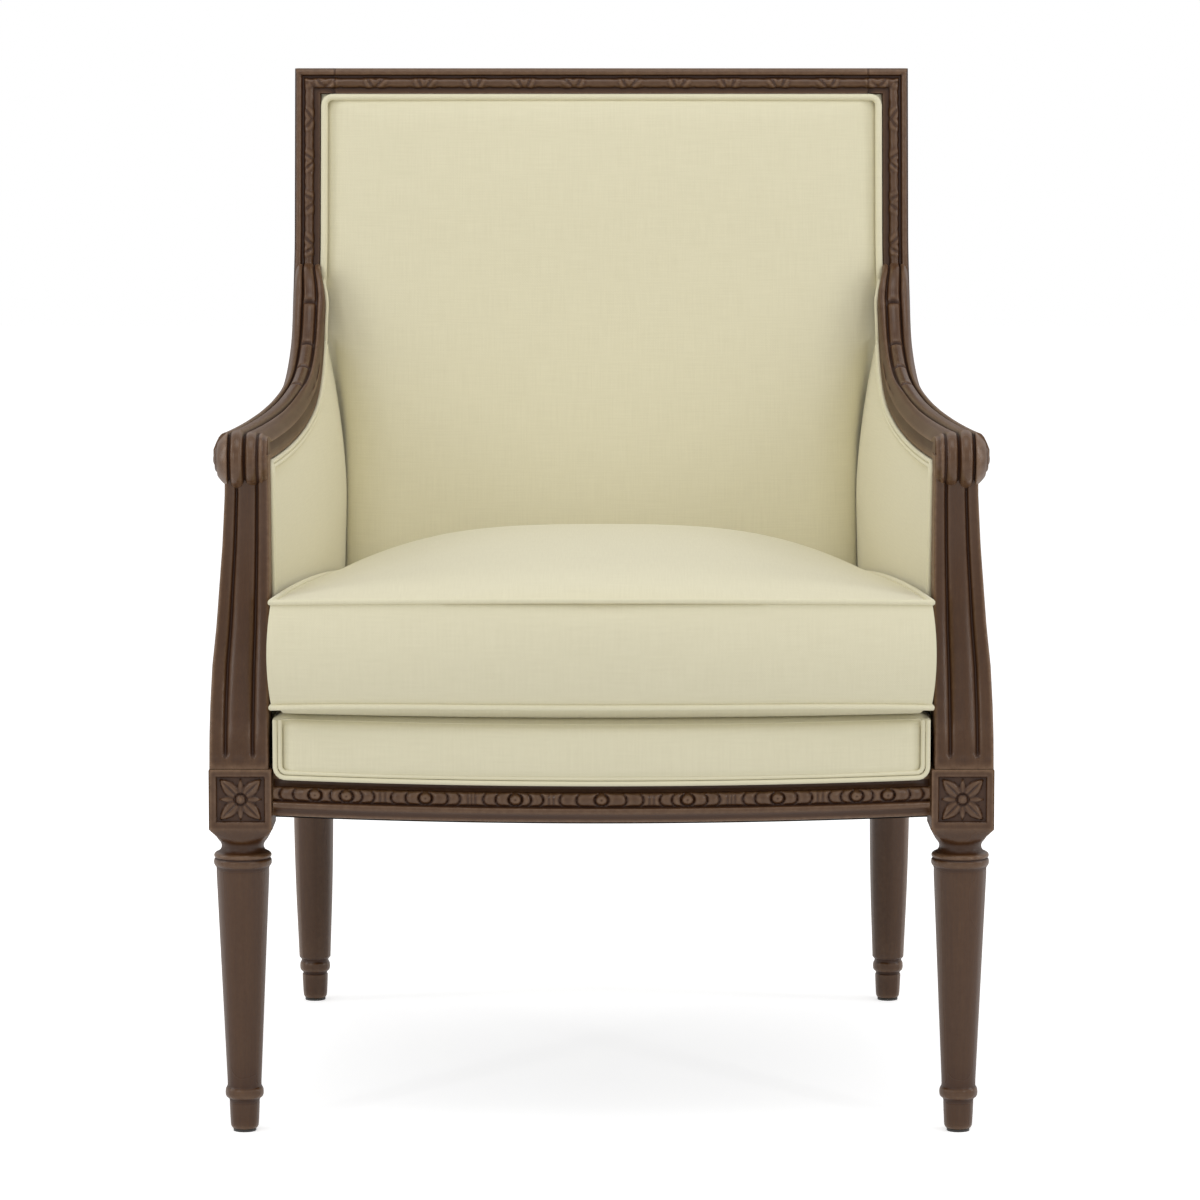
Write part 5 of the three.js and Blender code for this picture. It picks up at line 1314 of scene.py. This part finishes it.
def outside_back_form():
    def place(u, v, w):
        z = mix(SHOW_TOP + GAP, BACK_HIGH, (v + 1) / 2)
        x = u * BACK_HALF
        inner = POST_BACK - BACK_REBATE + GAP
        near = np.minimum(BACK_HALF - np.abs(x), np.minimum(BACK_HIGH - z, z - SHOW_TOP - GAP))
        outer = inner + 5.0 + swell(PANEL_CROWN, u, v) - rolled(near, 6, 3.5)
        return x, mix(inner, outer, (w + 1) / 2) + lean(z), z

    return soft_block(48, 56, 1, place)


def outside_back_welt_form(cloth):
    """Single cord all round the outside back."""
    radius = cloth.welt_radius / MM - 0.8
    x, low, high = BACK_HALF - 1.6, SHOW_TOP + 3.4, BACK_HIGH - 1.8
    corner = 6.0
    centres = ((x - corner, high - corner, 0), (-x + corner, high - corner, 1),
               (-x + corner, low + corner, 2), (x - corner, low + corner, 3))
    line = []
    for cx, cz, quarter in centres:
        turn = quarter * math.pi / 2 + np.linspace(0, QUARTER, 7)
        line += corner_arc(cx, cz, corner, turn)
    line = even_line(np.array([*line, line[0]]), 4.0)[:-1]
    points = np.stack([line[:, 0], POST_BACK + 1.4 + lean(line[:, 1]), line[:, 1]], 1)
    return cord_form(points, radius, (0, 1, 0), joined=True)


def arm_under(y):
    return np.interp(y, ARM_UNDER[:, 0], ARM_UNDER[:, 1])


def arm_inner(y):
    narrowing = np.interp(y, ARM_CROWN[:, 0], ARM_CROWN[:, 2])
    return mix(*ARM_OUTER, narrowing) - mix(*ARM_WIDTH, narrowing)


def pad_end(z, crown):
    """Where the arm pad meets the inside back pad."""
    return back_front(back_reach(z) - 8, z, crown) - 0.4


def pad_start(z):
    """Where the arm pad leaves the stump."""
    return np.maximum(28.1, np.interp(z, STUMP_COURSE[:, 0], STUMP_COURSE[:, 2]) + GAP)


def under_arm(u, v, foot, end, gap):
    """Place and height under the arm: u from the stump back, v from the foot up."""
    share = (u + 1) / 2
    top_y = mix(PAD_START, PAD_STOP, share)
    top_z = arm_under(top_y) - gap
    z = mix(foot, top_z, (v + 1) / 2)
    y = mix(pad_start(z), end(z), share)
    return y, z, top_y


def arm_pad_form(side, seat):
    crown = seat.back_crown / MM

    def place(u, v, w):
        y, z, top_y = under_arm(u, v, DECK_BOTTOM, lambda h: pad_end(h, crown), 1.0)
        shoulder = np.clip(v, 0, 1)
        face = mix(pad_line(y), np.maximum(arm_inner(top_y), pad_line(y)), shoulder**1.6)
        near = np.minimum((u + 1) / 2 * PAD_RUN, (1 - v) / 2 * PAD_RISE)
        inner = face - swell(PANEL_CROWN, u, v) + rolled(near, 9, 5.0)
        outer = side_line(y) - RAIL_THICKNESS - GAP
        x = mix(outer, np.minimum(inner, outer - 1), (w + 1) / 2)
        return side * x, y, z

    return soft_block(90, 48, 1, place)


# The arm's cords: their foot beside the stump and the top of the one that climbs the stile
ARM_CORD_FOOT, ARM_CORD_TOP = 372, 716


def arm_welt_form(side, cloth):
    """Double cord up the stump and along the underside of the arm; one climbs the stile."""
    radius = cloth.twin_radius / MM
    cords = []
    for inset in (radius + 0.2, 3 * radius + 0.1):
        top_y = np.linspace(PAD_START + inset, 610, 90)
        top = np.stack([arm_inner(top_y) - 0.2 * inset, top_y, arm_under(top_y) - inset], 1)
        down = np.linspace(top[0, 2] - 6, ARM_CORD_FOOT, 40)
        front_x = np.interp(down, (ARM_CORD_FOOT, 470, 585), (286.2, 286.6, 288.0))
        front = np.stack([front_x - 0.2 * inset, pad_start(down) + inset, down], 1)
        line = np.concatenate([front[::-1], top[2:]])
        if inset < 2 * radius:
            up = np.linspace(top[-1, 2] + 6, ARM_CORD_TOP, 24)
            rise = ramp(up, top[-1, 2], 690)
            behind = stile_front(up) - 9 + 11 * ramp(up, 690, 714)
            line = np.concatenate([line, np.stack([
                mix(top[-1, 0], 269.8 + 4.6 * ramp(up, 690, ARM_CORD_TOP), rise),
                mix(top[-1, 1], behind, rise), up], 1)])
        cords.append(cord_form(even_line(line, CORD_STEP) * (side, 1, 1), radius, (1, 0, 0)))
    return gathered(cords)


def outside_arm_form(side):
    def place(u, v, w):
        y, z, _ = under_arm(u, v, SHOW_TOP + GAP, lambda h: stile_front(h) - 1.2, GAP)
        near = np.minimum((1 + u) / 2 * PAD_RUN, (1 - u) / 2 * PAD_RUN)
        roll = rolled(np.minimum(near, (1 - np.abs(v)) * 130), 6, 2.5)
        # Near the front the panel draws in under the arm.
        draw = 7.0 * ramp(z, 430, 575) * ramp(330 - y, 0, 290)
        outer = side_line(y) + swell(PANEL_CROWN, u, v) - roll - draw
        inner = side_line(y) - mix(16.0, 5.0, ramp(y, PAD_START + 4, PAD_START + 20)) - draw
        return side * mix(inner, outer, (w + 1) / 2), y, z

    return soft_block(80, 40, 1, place)


BAND_TOP = DECK_TOP - 4.2
# Half widths of the band and of its outer cord
BAND_HALF, BAND_CORD_HALF = 278.3, 283.9


def band_form(seat):
    crown = seat.band_crown / MM

    def place(u, v, w):
        x = u * BAND_HALF
        z = mix(SHOW_TOP + GAP, BAND_TOP, (v + 1) / 2)
        back = bow(x) + COVER_REBATE - GAP
        near = np.minimum(BAND_HALF - np.abs(x), z - SHOW_TOP - GAP) - 5.0
        roll = rolled(near, 9, 4.0) + rolled(BAND_TOP - z, 9, 8.5)
        front = back - 7.0 - crown * (1 - u**8) * (1 - v * v) + roll
        return x, mix(back, front, (w + 1) / 2), z

    return soft_block(110, 24, 1, place)


def band_welt_form(cloth):
    """Double cord down one side of the band, along its foot and up the other side."""
    radius = cloth.twin_radius / MM
    cords = []
    for inset in (0.0, 2 * radius + 0.1):
        x = BAND_CORD_HALF - radius - inset
        low = SHOW_TOP + 0.4 + radius + inset
        high = BAND_TOP - 0.4
        corner = 9.0 - inset * 0.8
        right = [(x, high), (x, low + corner)]
        right += corner_arc(x - corner, low + corner, corner, -np.linspace(0, QUARTER, 9)[1:])
        line = even_line(both_halves(right)[::-1], CORD_STEP)
        points = np.stack([line[:, 0], bow(line[:, 0]) - 0.6 + 0.3 * inset, line[:, 1]], 1)
        cords.append(cord_form(points, radius, (0, -1, 0)))
    return gathered(cords)


# Gap between the deck and the arm pads
DECK_GAP = 3.6


def deck_form():
    def place(u, v, w):
        reach = pad_line(BLOCK_HALF) - DECK_GAP
        front = bow(u * reach) + COVER_REBATE + 1.2
        y = mix(front, POST_FRONT - 2.0, (v + 1) / 2)
        x = u * (pad_line(np.maximum(y, BLOCK_HALF)) - DECK_GAP)
        near = np.minimum((1 - np.abs(u)) * 270, (1 - np.abs(v)) * 300)
        return x, y, mix(DECK_BOTTOM, DECK_TOP - rolled(near, 12, 5.0), (w + 1) / 2)

    return soft_block(60, 60, 1, place)


CUSHION_BOTTOM = 370.8
CUSHION_FRONT, CUSHION_BACK = -39.5, 531.6
# Heights of the lower seam above the bottom and of its corners below it
LOWER_SEAM, CORNER_DROP = 12.0, 4.0
# The front's bow and the bulge of its boxing; the sides' waist and the bulge of theirs
CUSHION_BOW, FRONT_BULGE = 32.0, 8.5
CUSHION_WAIST, SIDE_BULGE = 2.0, 3.4
# The upper seam's arch from side to side and its fall to the back
SEAM_ARCH, SEAM_FALL = 5.0, 33.9


def cushion_place(u, v, w, seat):
    """Box cushion: its seams are where w is 1 and -1."""
    share = (v + 1) / 2
    front_half = BLOCK_INNER - GAP
    back_half = pad_line(CUSHION_BACK) - 8.0
    x = u * (mix(front_half, back_half, share) - CUSHION_WAIST * (1 - v * v))
    bulge = FRONT_BULGE * (1 - w * w) * np.clip(-v, 0, 1) ** 8
    y = mix(CUSHION_FRONT - CUSHION_BOW * (1 - u * u) - bulge, CUSHION_BACK, share)
    seam = CUSHION_BOTTOM + LOWER_SEAM
    lower = seam - CORNER_DROP * np.abs(u) ** 4
    upper = seam + seat.boxing / MM + SEAM_ARCH * (1 - u * u) - SEAM_FALL * share**1.875
    filling = (1 - np.abs(u) ** 3.66) * (1 - np.abs(v) ** 8) * (1 + 0.5 * v)
    top = upper + seat.crown / MM * filling
    tucked = np.clip((1 - u * u) * 18, 0, 1) * np.clip((1 - v * v) * 9, 0, 1)
    bottom = mix(lower, CUSHION_BOTTOM, tucked)
    return x, y, mix(bottom, top, (w + 1) / 2)


def cushion_form(seat):
    def place(u, v, w):
        x, y, z = cushion_place(u, v, w, seat)
        x = x + np.sign(u) * SIDE_BULGE * (1 - w * w) * np.abs(u) ** 16
        return x, y, z

    return soft_block(72, 72, 14, place)


def cushion_welt_form(w, cloth, seat):
    """Single cord round the upper seam, or round the lower one."""
    radius = cloth.welt_radius / MM - 0.9
    up, edge = np.linspace(-1, 1, 80, endpoint=False), np.ones(80)
    down = np.linspace(1, -1, 80, endpoint=False)
    u = np.concatenate([up, edge, down, -edge])
    v = np.concatenate([-edge, up, edge, down])
    line = np.stack(cushion_place(u, v, np.full(len(u), float(w)), seat), 1)
    away = line - line.mean(0)
    away[:, 2] = 0
    away /= np.linalg.norm(away, axis=1)[:, None]
    line = line + away * 0.6 + np.array([0, 0, w * 1.0])
    return cord_form(line, radius, (0, 0, 1), joined=True)


# The dust cover's edge behind the front rail's face, and how far across it follows the bow
DUST_INSET, DUST_HALF = 8.0, 280


def dust_cover_form():
    """Thin lining under the rails, cut round the legs and slack enough to hang a little."""
    u, v = np.meshgrid(np.linspace(-1, 1, 60), np.linspace(0, 1, 60))
    place_y = mix(-14.0, POST_BACK - 10.0, v)
    front = bow(u * DUST_HALF) + DUST_INSET
    reach = side_line(np.clip(place_y, 0, 600)) - 9.0
    reach = np.where(place_y < 31, BLOCK_INNER - 2, reach)
    reach = np.where(place_y > POST_FRONT - 4, POST_INNER - 2, reach)
    place_x = u * reach
    edge = bow(np.clip(place_x, -DUST_HALF, DUST_HALF)) + DUST_INSET
    place_y = np.where(v == 0, edge, place_y)
    place_y = np.where((v > 0) & (v < 0.08), mix(front, place_y, ramp(v, 0, 0.08)), place_y)
    sag = 0.8 + 2.2 * (1 - u**2) * (1 - (2 * v - 1) ** 2)
    return draped(np.stack([place_x, place_y, RAIL_BOTTOM - 0.4 - sag], 2))


# ---------------------------------------------------------------- filling


def filled(piece, seat, held):
    """Blows the cover out between the points that are held, as the filling does, and keeps it."""
    mesh = piece.data
    before = read(mesh.vertices, "co", 3)
    seams = piece.vertex_groups.new(name="seams")
    seams.add([i for i, place in enumerate(before) if held(i, place)], 1.0, "REPLACE")
    cover = piece.modifiers.new("Filling", "CLOTH")
    cover.settings.quality = 4
    cover.settings.mass = 0.3
    cover.settings.use_pressure = True
    cover.settings.uniform_pressure_force = seat.pressure
    cover.settings.vertex_group_mass = "seams"
    cover.settings.effector_weights.gravity = 0
    cover.collision_settings.use_collision = False
    cover.point_cache.frame_start = 1
    cover.point_cache.frame_end = seat.frames
    scene = bpy.context.scene
    for step in range(1, seat.frames + 1):
        scene.frame_set(step)
    shaped = piece.evaluated_get(bpy.context.evaluated_depsgraph_get())
    moved = read(shaped.data.vertices, "co", 3) - before
    piece.modifiers.remove(cover)
    piece.vertex_groups.remove(seams)
    scene.frame_set(1)
    far = np.maximum(np.linalg.norm(moved, axis=1), 1e-9)
    moved *= (seat.travel * np.tanh(far / seat.travel) / far)[:, None]
    mesh.vertices.foreach_set("co", (before + moved).ravel())
    mesh.update()


# ---------------------------------------------------------------- operators


def carved(name, form, grain, node):
    """A piece of show-wood in place of its CAD node."""
    return finished(name, form, stained_wood(grain), "show_wood", [node])


def covered(name, form, node, body="frame", crease=SOFT_CREASE):
    """A piece of the linen cover in place of its CAD node."""
    return finished(name, form, linen(), "cloth", [node], body, crease)


class FAUTEUIL_OT_front_legs(bpy.types.Operator):
    """Turn the front legs and carve the flower on their blocks"""

    bl_idname = "fauteuil.front_legs"
    bl_label = "Front legs"

    def execute(self, context):
        wood = context.scene.fauteuil_wood
        for hand, side in SIDES:
            carved("turned_front_leg_" + hand, front_leg_form(side, wood), "Z",
                   "front_leg_" + hand)
        return {"FINISHED"}


class FAUTEUIL_OT_arm_stumps(bpy.types.Operator):
    """Shape and flute the arm stumps"""

    bl_idname = "fauteuil.arm_stumps"
    bl_label = "Arm stumps"

    def execute(self, context):
        wood = context.scene.fauteuil_wood
        for hand, side in SIDES:
            carved("fluted_stump_" + hand, stump_form(side, wood), "Z", "arm_stump_" + hand)
        return {"FINISHED"}


class FAUTEUIL_OT_arms(bpy.types.Operator):
    """Mould the arms and roll their scrolls"""

    bl_idname = "fauteuil.arms"
    bl_label = "Arms"

    def execute(self, context):
        for hand, side in SIDES:
            carved("moulded_arm_" + hand, arm_form(side), "Y", "arm_" + hand)
        return {"FINISHED"}


class FAUTEUIL_OT_back_posts(bpy.types.Operator):
    """Turn the back legs and carve the ribbon on their stiles"""

    bl_idname = "fauteuil.back_posts"
    bl_label = "Back posts"

    def execute(self, context):
        wood = context.scene.fauteuil_wood
        for hand, side in SIDES:
            carved("carved_back_post_" + hand, back_post_form(side, wood), "Z",
                   "back_post_" + hand)
        return {"FINISHED"}


class FAUTEUIL_OT_top_rail(bpy.types.Operator):
    """Carve the ribbon on the top rail"""

    bl_idname = "fauteuil.top_rail"
    bl_label = "Top rail"

    def execute(self, context):
        carved("carved_top_rail", top_rail_form(context.scene.fauteuil_wood), "X", "top_rail")
        return {"FINISHED"}


class FAUTEUIL_OT_seat_rails(bpy.types.Operator):
    """Carve the coins and crescents on the seat rails"""

    bl_idname = "fauteuil.seat_rails"
    bl_label = "Seat rails"

    def execute(self, context):
        wood = context.scene.fauteuil_wood
        carved("carved_front_rail", front_rail_form(wood), "X", "front_rail")
        carved("moulded_back_rail", back_rail_form(wood), "X", "back_rail")
        for hand, side in SIDES:
            carved("carved_side_rail_" + hand, side_rail_form(side, wood), "Y",
                   "side_rail_" + hand)
        return {"FINISHED"}


class FAUTEUIL_OT_hidden_frame(bpy.types.Operator):
    """Finish the hidden timber, screws and glides"""

    bl_idname = "fauteuil.hidden_frame"
    bl_label = "Hidden frame"

    def execute(self, context):
        kept("stay_rail", plain_timber("X"))
        for hand, _ in SIDES:
            kept("arm_slat_" + hand, plain_timber("Y"))
            for end in ("front", "back"):
                kept(f"{end}_corner_block_{hand}", plain_timber("X"))
                kept(f"{end}_rail_screw_{hand}", screw_steel())
                kept(f"{end}_side_screw_{hand}", screw_steel())
                kept(f"{end}_glide_{hand}", glide_plastic())
        return {"FINISHED"}


class FAUTEUIL_OT_webbing(bpy.types.Operator):
    """Finish the webbing and hang the dust cover"""

    bl_idname = "fauteuil.webbing"
    bl_label = "Webbing and dust cover"

    def execute(self, context):
        for kind, count, axis in (("cross", 3, "X"), ("long", 4, "Y")):
            for i in range(1, count + 1):
                kept(f"{kind}_strap_{i}", jute_webbing(axis))
        cover = finished("dust_lining", dust_cover_form(), lining_cloth(), "lining", ["dust_cover"])
        return {"FINISHED"}


class FAUTEUIL_OT_back_upholstery(bpy.types.Operator):
    """Upholster the back, inside and outside, with its welts"""

    bl_idname = "fauteuil.back_upholstery"
    bl_label = "Back upholstery"

    def execute(self, context):
        cloth, seat = context.scene.fauteuil_cloth, context.scene.fauteuil_seat
        pad = covered("inside_back", inside_back_form(seat), "inside_back_pad")
        covered("inside_back_cord", inside_back_welt_form(cloth), "inside_back_welt")
        panel = covered("outside_back", outside_back_form(), "outside_back_panel")
        covered("outside_back_cord", outside_back_welt_form(cloth), "outside_back_welt")
        return {"FINISHED"}


class FAUTEUIL_OT_arm_upholstery(bpy.types.Operator):
    """Upholster the arms, inside and outside, with their welts"""

    bl_idname = "fauteuil.arm_upholstery"
    bl_label = "Arm upholstery"

    def execute(self, context):
        cloth, seat = context.scene.fauteuil_cloth, context.scene.fauteuil_seat
        for hand, side in SIDES:
            pad = covered("inside_arm_" + hand, arm_pad_form(side, seat), "inside_arm_pad_" + hand)
            covered("inside_arm_cord_" + hand, arm_welt_form(side, cloth),
                    "inside_arm_welt_" + hand)
            panel = covered("outside_arm_" + hand, outside_arm_form(side),
                            "outside_arm_panel_" + hand)
        return {"FINISHED"}


class FAUTEUIL_OT_seat_upholstery(bpy.types.Operator):
    """Cover the deck and the front band, with its double welt"""

    bl_idname = "fauteuil.seat_upholstery"
    bl_label = "Deck and front band"

    def execute(self, context):
        cloth, seat = context.scene.fauteuil_cloth, context.scene.fauteuil_seat
        deck = covered("deck", deck_form(), "deck_pad")
        band = covered("band", band_form(seat), "front_band")
        covered("band_cords", band_welt_form(cloth), "front_band_welt")
        return {"FINISHED"}


class FAUTEUIL_OT_cushion(bpy.types.Operator):
    """Fill the loose cushion and lay its welts on its seams"""

    bl_idname = "fauteuil.cushion"
    bl_label = "Cushion"

    def execute(self, context):
        cloth, seat = context.scene.fauteuil_cloth, context.scene.fauteuil_seat
        cushion = covered("box_cushion", cushion_form(seat), "seat_cushion", body="cushion",
                          crease=BOX_CREASE)
        seams = {v for e in cushion.data.edges if e.use_edge_sharp for v in e.vertices}
        low = (CUSHION_BOTTOM + LOWER_SEAM) * MM + 1e-5
        filled(cushion, seat, lambda i, place: place[2] <= low or i in seams)
        for seam, w in (("upper", 1), ("lower", -1)):
            covered(f"cushion_{seam}_cord", cushion_welt_form(w, cloth, seat),
                    f"cushion_{seam}_welt", body="cushion")
        return {"FINISHED"}


class FAUTEUIL_OT_stage(bpy.types.Operator):
    """Set the floor, the lamps and the camera"""

    bl_idname = "fauteuil.stage"
    bl_label = "Stage"

    def execute(self, context):
        stage = context.scene.fauteuil_stage
        lay_floor(stage)
        light_sky(context.scene, stage)
        hang_lamp("Key lamp", (0, -1.4, 4.0), (2.6, 2.0), stage.key)
        hang_lamp("Front lamp", (0, -3.4, 1.9), (1.4, 0.5), stage.front)
        for hand, side in SIDES:
            hang_lamp(f"Side lamp {hand}", (side * 2.6, -0.3, 1.4), (0.5, 2.0), stage.fill)
            hang_lamp(f"Strip lamp {hand}", (side * 2.1, -2.7, 1.5), (0.1, 1.4), stage.strip)
        set_camera(context.scene, stage)
        context.scene.view_settings.view_transform = "Standard"
        return {"FINISHED"}


# ---------------------------------------------------------------- stage


FLOOR_REACH = 12
FLOOR_GLOW = 0.57
LAMP_AIM = (0, 0, 0.5)
SENSOR_WIDTH = 36
# The photo's middle is one and a half of its 1200 pixels beside the chair's.
CAMERA_SHIFT = -1.5 / 1200


def placed(name, data, place, turn=(0, 0, 0)):
    made = bpy.data.objects.new(name, data)
    made.location = place
    made.rotation_euler = turn
    bpy.context.scene.collection.objects.link(made)
    return made


def seen_by_camera(tree):
    """1 for rays from the camera, also after a mirror or a clear surface."""
    path = add(tree, "ShaderNodeLightPath").outputs
    seen = calculate(tree, "MAXIMUM", path["Is Camera Ray"], path["Is Glossy Ray"])
    return calculate(tree, "MAXIMUM", seen, path["Is Transmission Ray"])


def floor_finish(stage):
    """Matt white that glows a little towards the camera, as a lit studio sweep does."""
    made = bpy.data.materials.new("Floor")
    tree = emptied(made)
    speckle = noise(tree, object_place(tree), 60.0)
    tint = veiled(tree, stage.floor, speckle, 0.08, darker(stage.floor, 0.85))
    matt = add(tree, "ShaderNodeBsdfDiffuse", {"Color": tint})
    glow = add(tree, "ShaderNodeEmission", {
        "Color": (1, 1, 1, 1), "Strength": calculate(tree, "MULTIPLY", seen_by_camera(tree),
                                                     FLOOR_GLOW)})
    both = add(tree, "ShaderNodeAddShader", {0: matt.outputs[0], 1: glow.outputs[0]})
    add(tree, "ShaderNodeOutputMaterial", {"Surface": both.outputs[0]})
    return made


def lay_floor(stage):
    bm = bmesh.new()
    bmesh.ops.create_grid(bm, x_segments=24, y_segments=24, size=FLOOR_REACH)
    mesh = bpy.data.meshes.new("floor")
    bm.to_mesh(mesh)
    bm.free()
    mesh.materials.append(floor_finish(stage))
    floor = placed("floor", mesh, (0, 0, 0))


def light_sky(scene, stage):
    """White behind the chair, and a weaker light from all round."""
    scene.world = bpy.data.worlds.new("Studio")
    tree = emptied(scene.world)
    strength = calculate(tree, "MULTIPLY_ADD", seen_by_camera(tree), 1.0 - stage.sky, stage.sky)
    back = add(tree, "ShaderNodeBackground", {"Color": (1, 1, 1, 1), "Strength": strength})
    add(tree, "ShaderNodeOutputWorld", {"Surface": back.outputs[0]})


def hang_lamp(name, place, size, power):
    """A rectangular lamp that looks at the middle of the chair."""
    lamp = bpy.data.lights.new(name, "AREA")
    lamp.shape = "RECTANGLE"
    lamp.size, lamp.size_y = size
    lamp.energy = power
    aim = Vector(LAMP_AIM) - Vector(place)
    placed(name, lamp, place, aim.to_track_quat("-Z", "Y").to_euler())


def set_camera(scene, stage):
    camera = bpy.data.cameras.new("Camera")
    camera.sensor_width = SENSOR_WIDTH
    camera.lens = stage.lens
    camera.shift_x = CAMERA_SHIFT
    scene.camera = placed("Camera", camera, (0, -stage.distance, stage.rise),
                          (math.pi / 2 - stage.pitch, 0, 0))


STEPS = (
    FAUTEUIL_OT_front_legs, FAUTEUIL_OT_arm_stumps, FAUTEUIL_OT_arms, FAUTEUIL_OT_back_posts,
    FAUTEUIL_OT_top_rail, FAUTEUIL_OT_seat_rails, FAUTEUIL_OT_hidden_frame, FAUTEUIL_OT_webbing,
    FAUTEUIL_OT_back_upholstery, FAUTEUIL_OT_arm_upholstery, FAUTEUIL_OT_seat_upholstery,
    FAUTEUIL_OT_cushion, FAUTEUIL_OT_stage,
)


class FAUTEUIL_PT_panel(bpy.types.Panel):
    """Settings of the chair and the steps that build it"""

    bl_idname = "FAUTEUIL_PT_panel"
    bl_label = "Fauteuil"
    bl_space_type = "VIEW_3D"
    bl_region_type = "UI"
    bl_category = "Fauteuil"

    def draw(self, context):
        layout = self.layout
        for name, group_type in SETTINGS:
            column = layout.column(align=True)
            column.label(text=group_type.__doc__.split(":")[0])
            for key in group_type.__annotations__:
                column.prop(getattr(context.scene, name), key)
        for step in STEPS:
            layout.operator(step.bl_idname)


def register():
    for name, group_type in SETTINGS:
        bpy.utils.register_class(group_type)
        setattr(bpy.types.Scene, name, PointerProperty(type=group_type))
    for step in (*STEPS, FAUTEUIL_PT_panel):
        bpy.utils.register_class(step)


def unregister():
    for step in (FAUTEUIL_PT_panel, *reversed(STEPS)):
        bpy.utils.unregister_class(step)
    for name, group_type in reversed(SETTINGS):
        delattr(bpy.types.Scene, name)
        bpy.utils.unregister_class(group_type)


def main():
    register()
    for step in STEPS:
        group_name, _, name = step.bl_idname.partition(".")
        getattr(getattr(bpy.ops, group_name), name)()


if __name__ == "__main__":
    main()
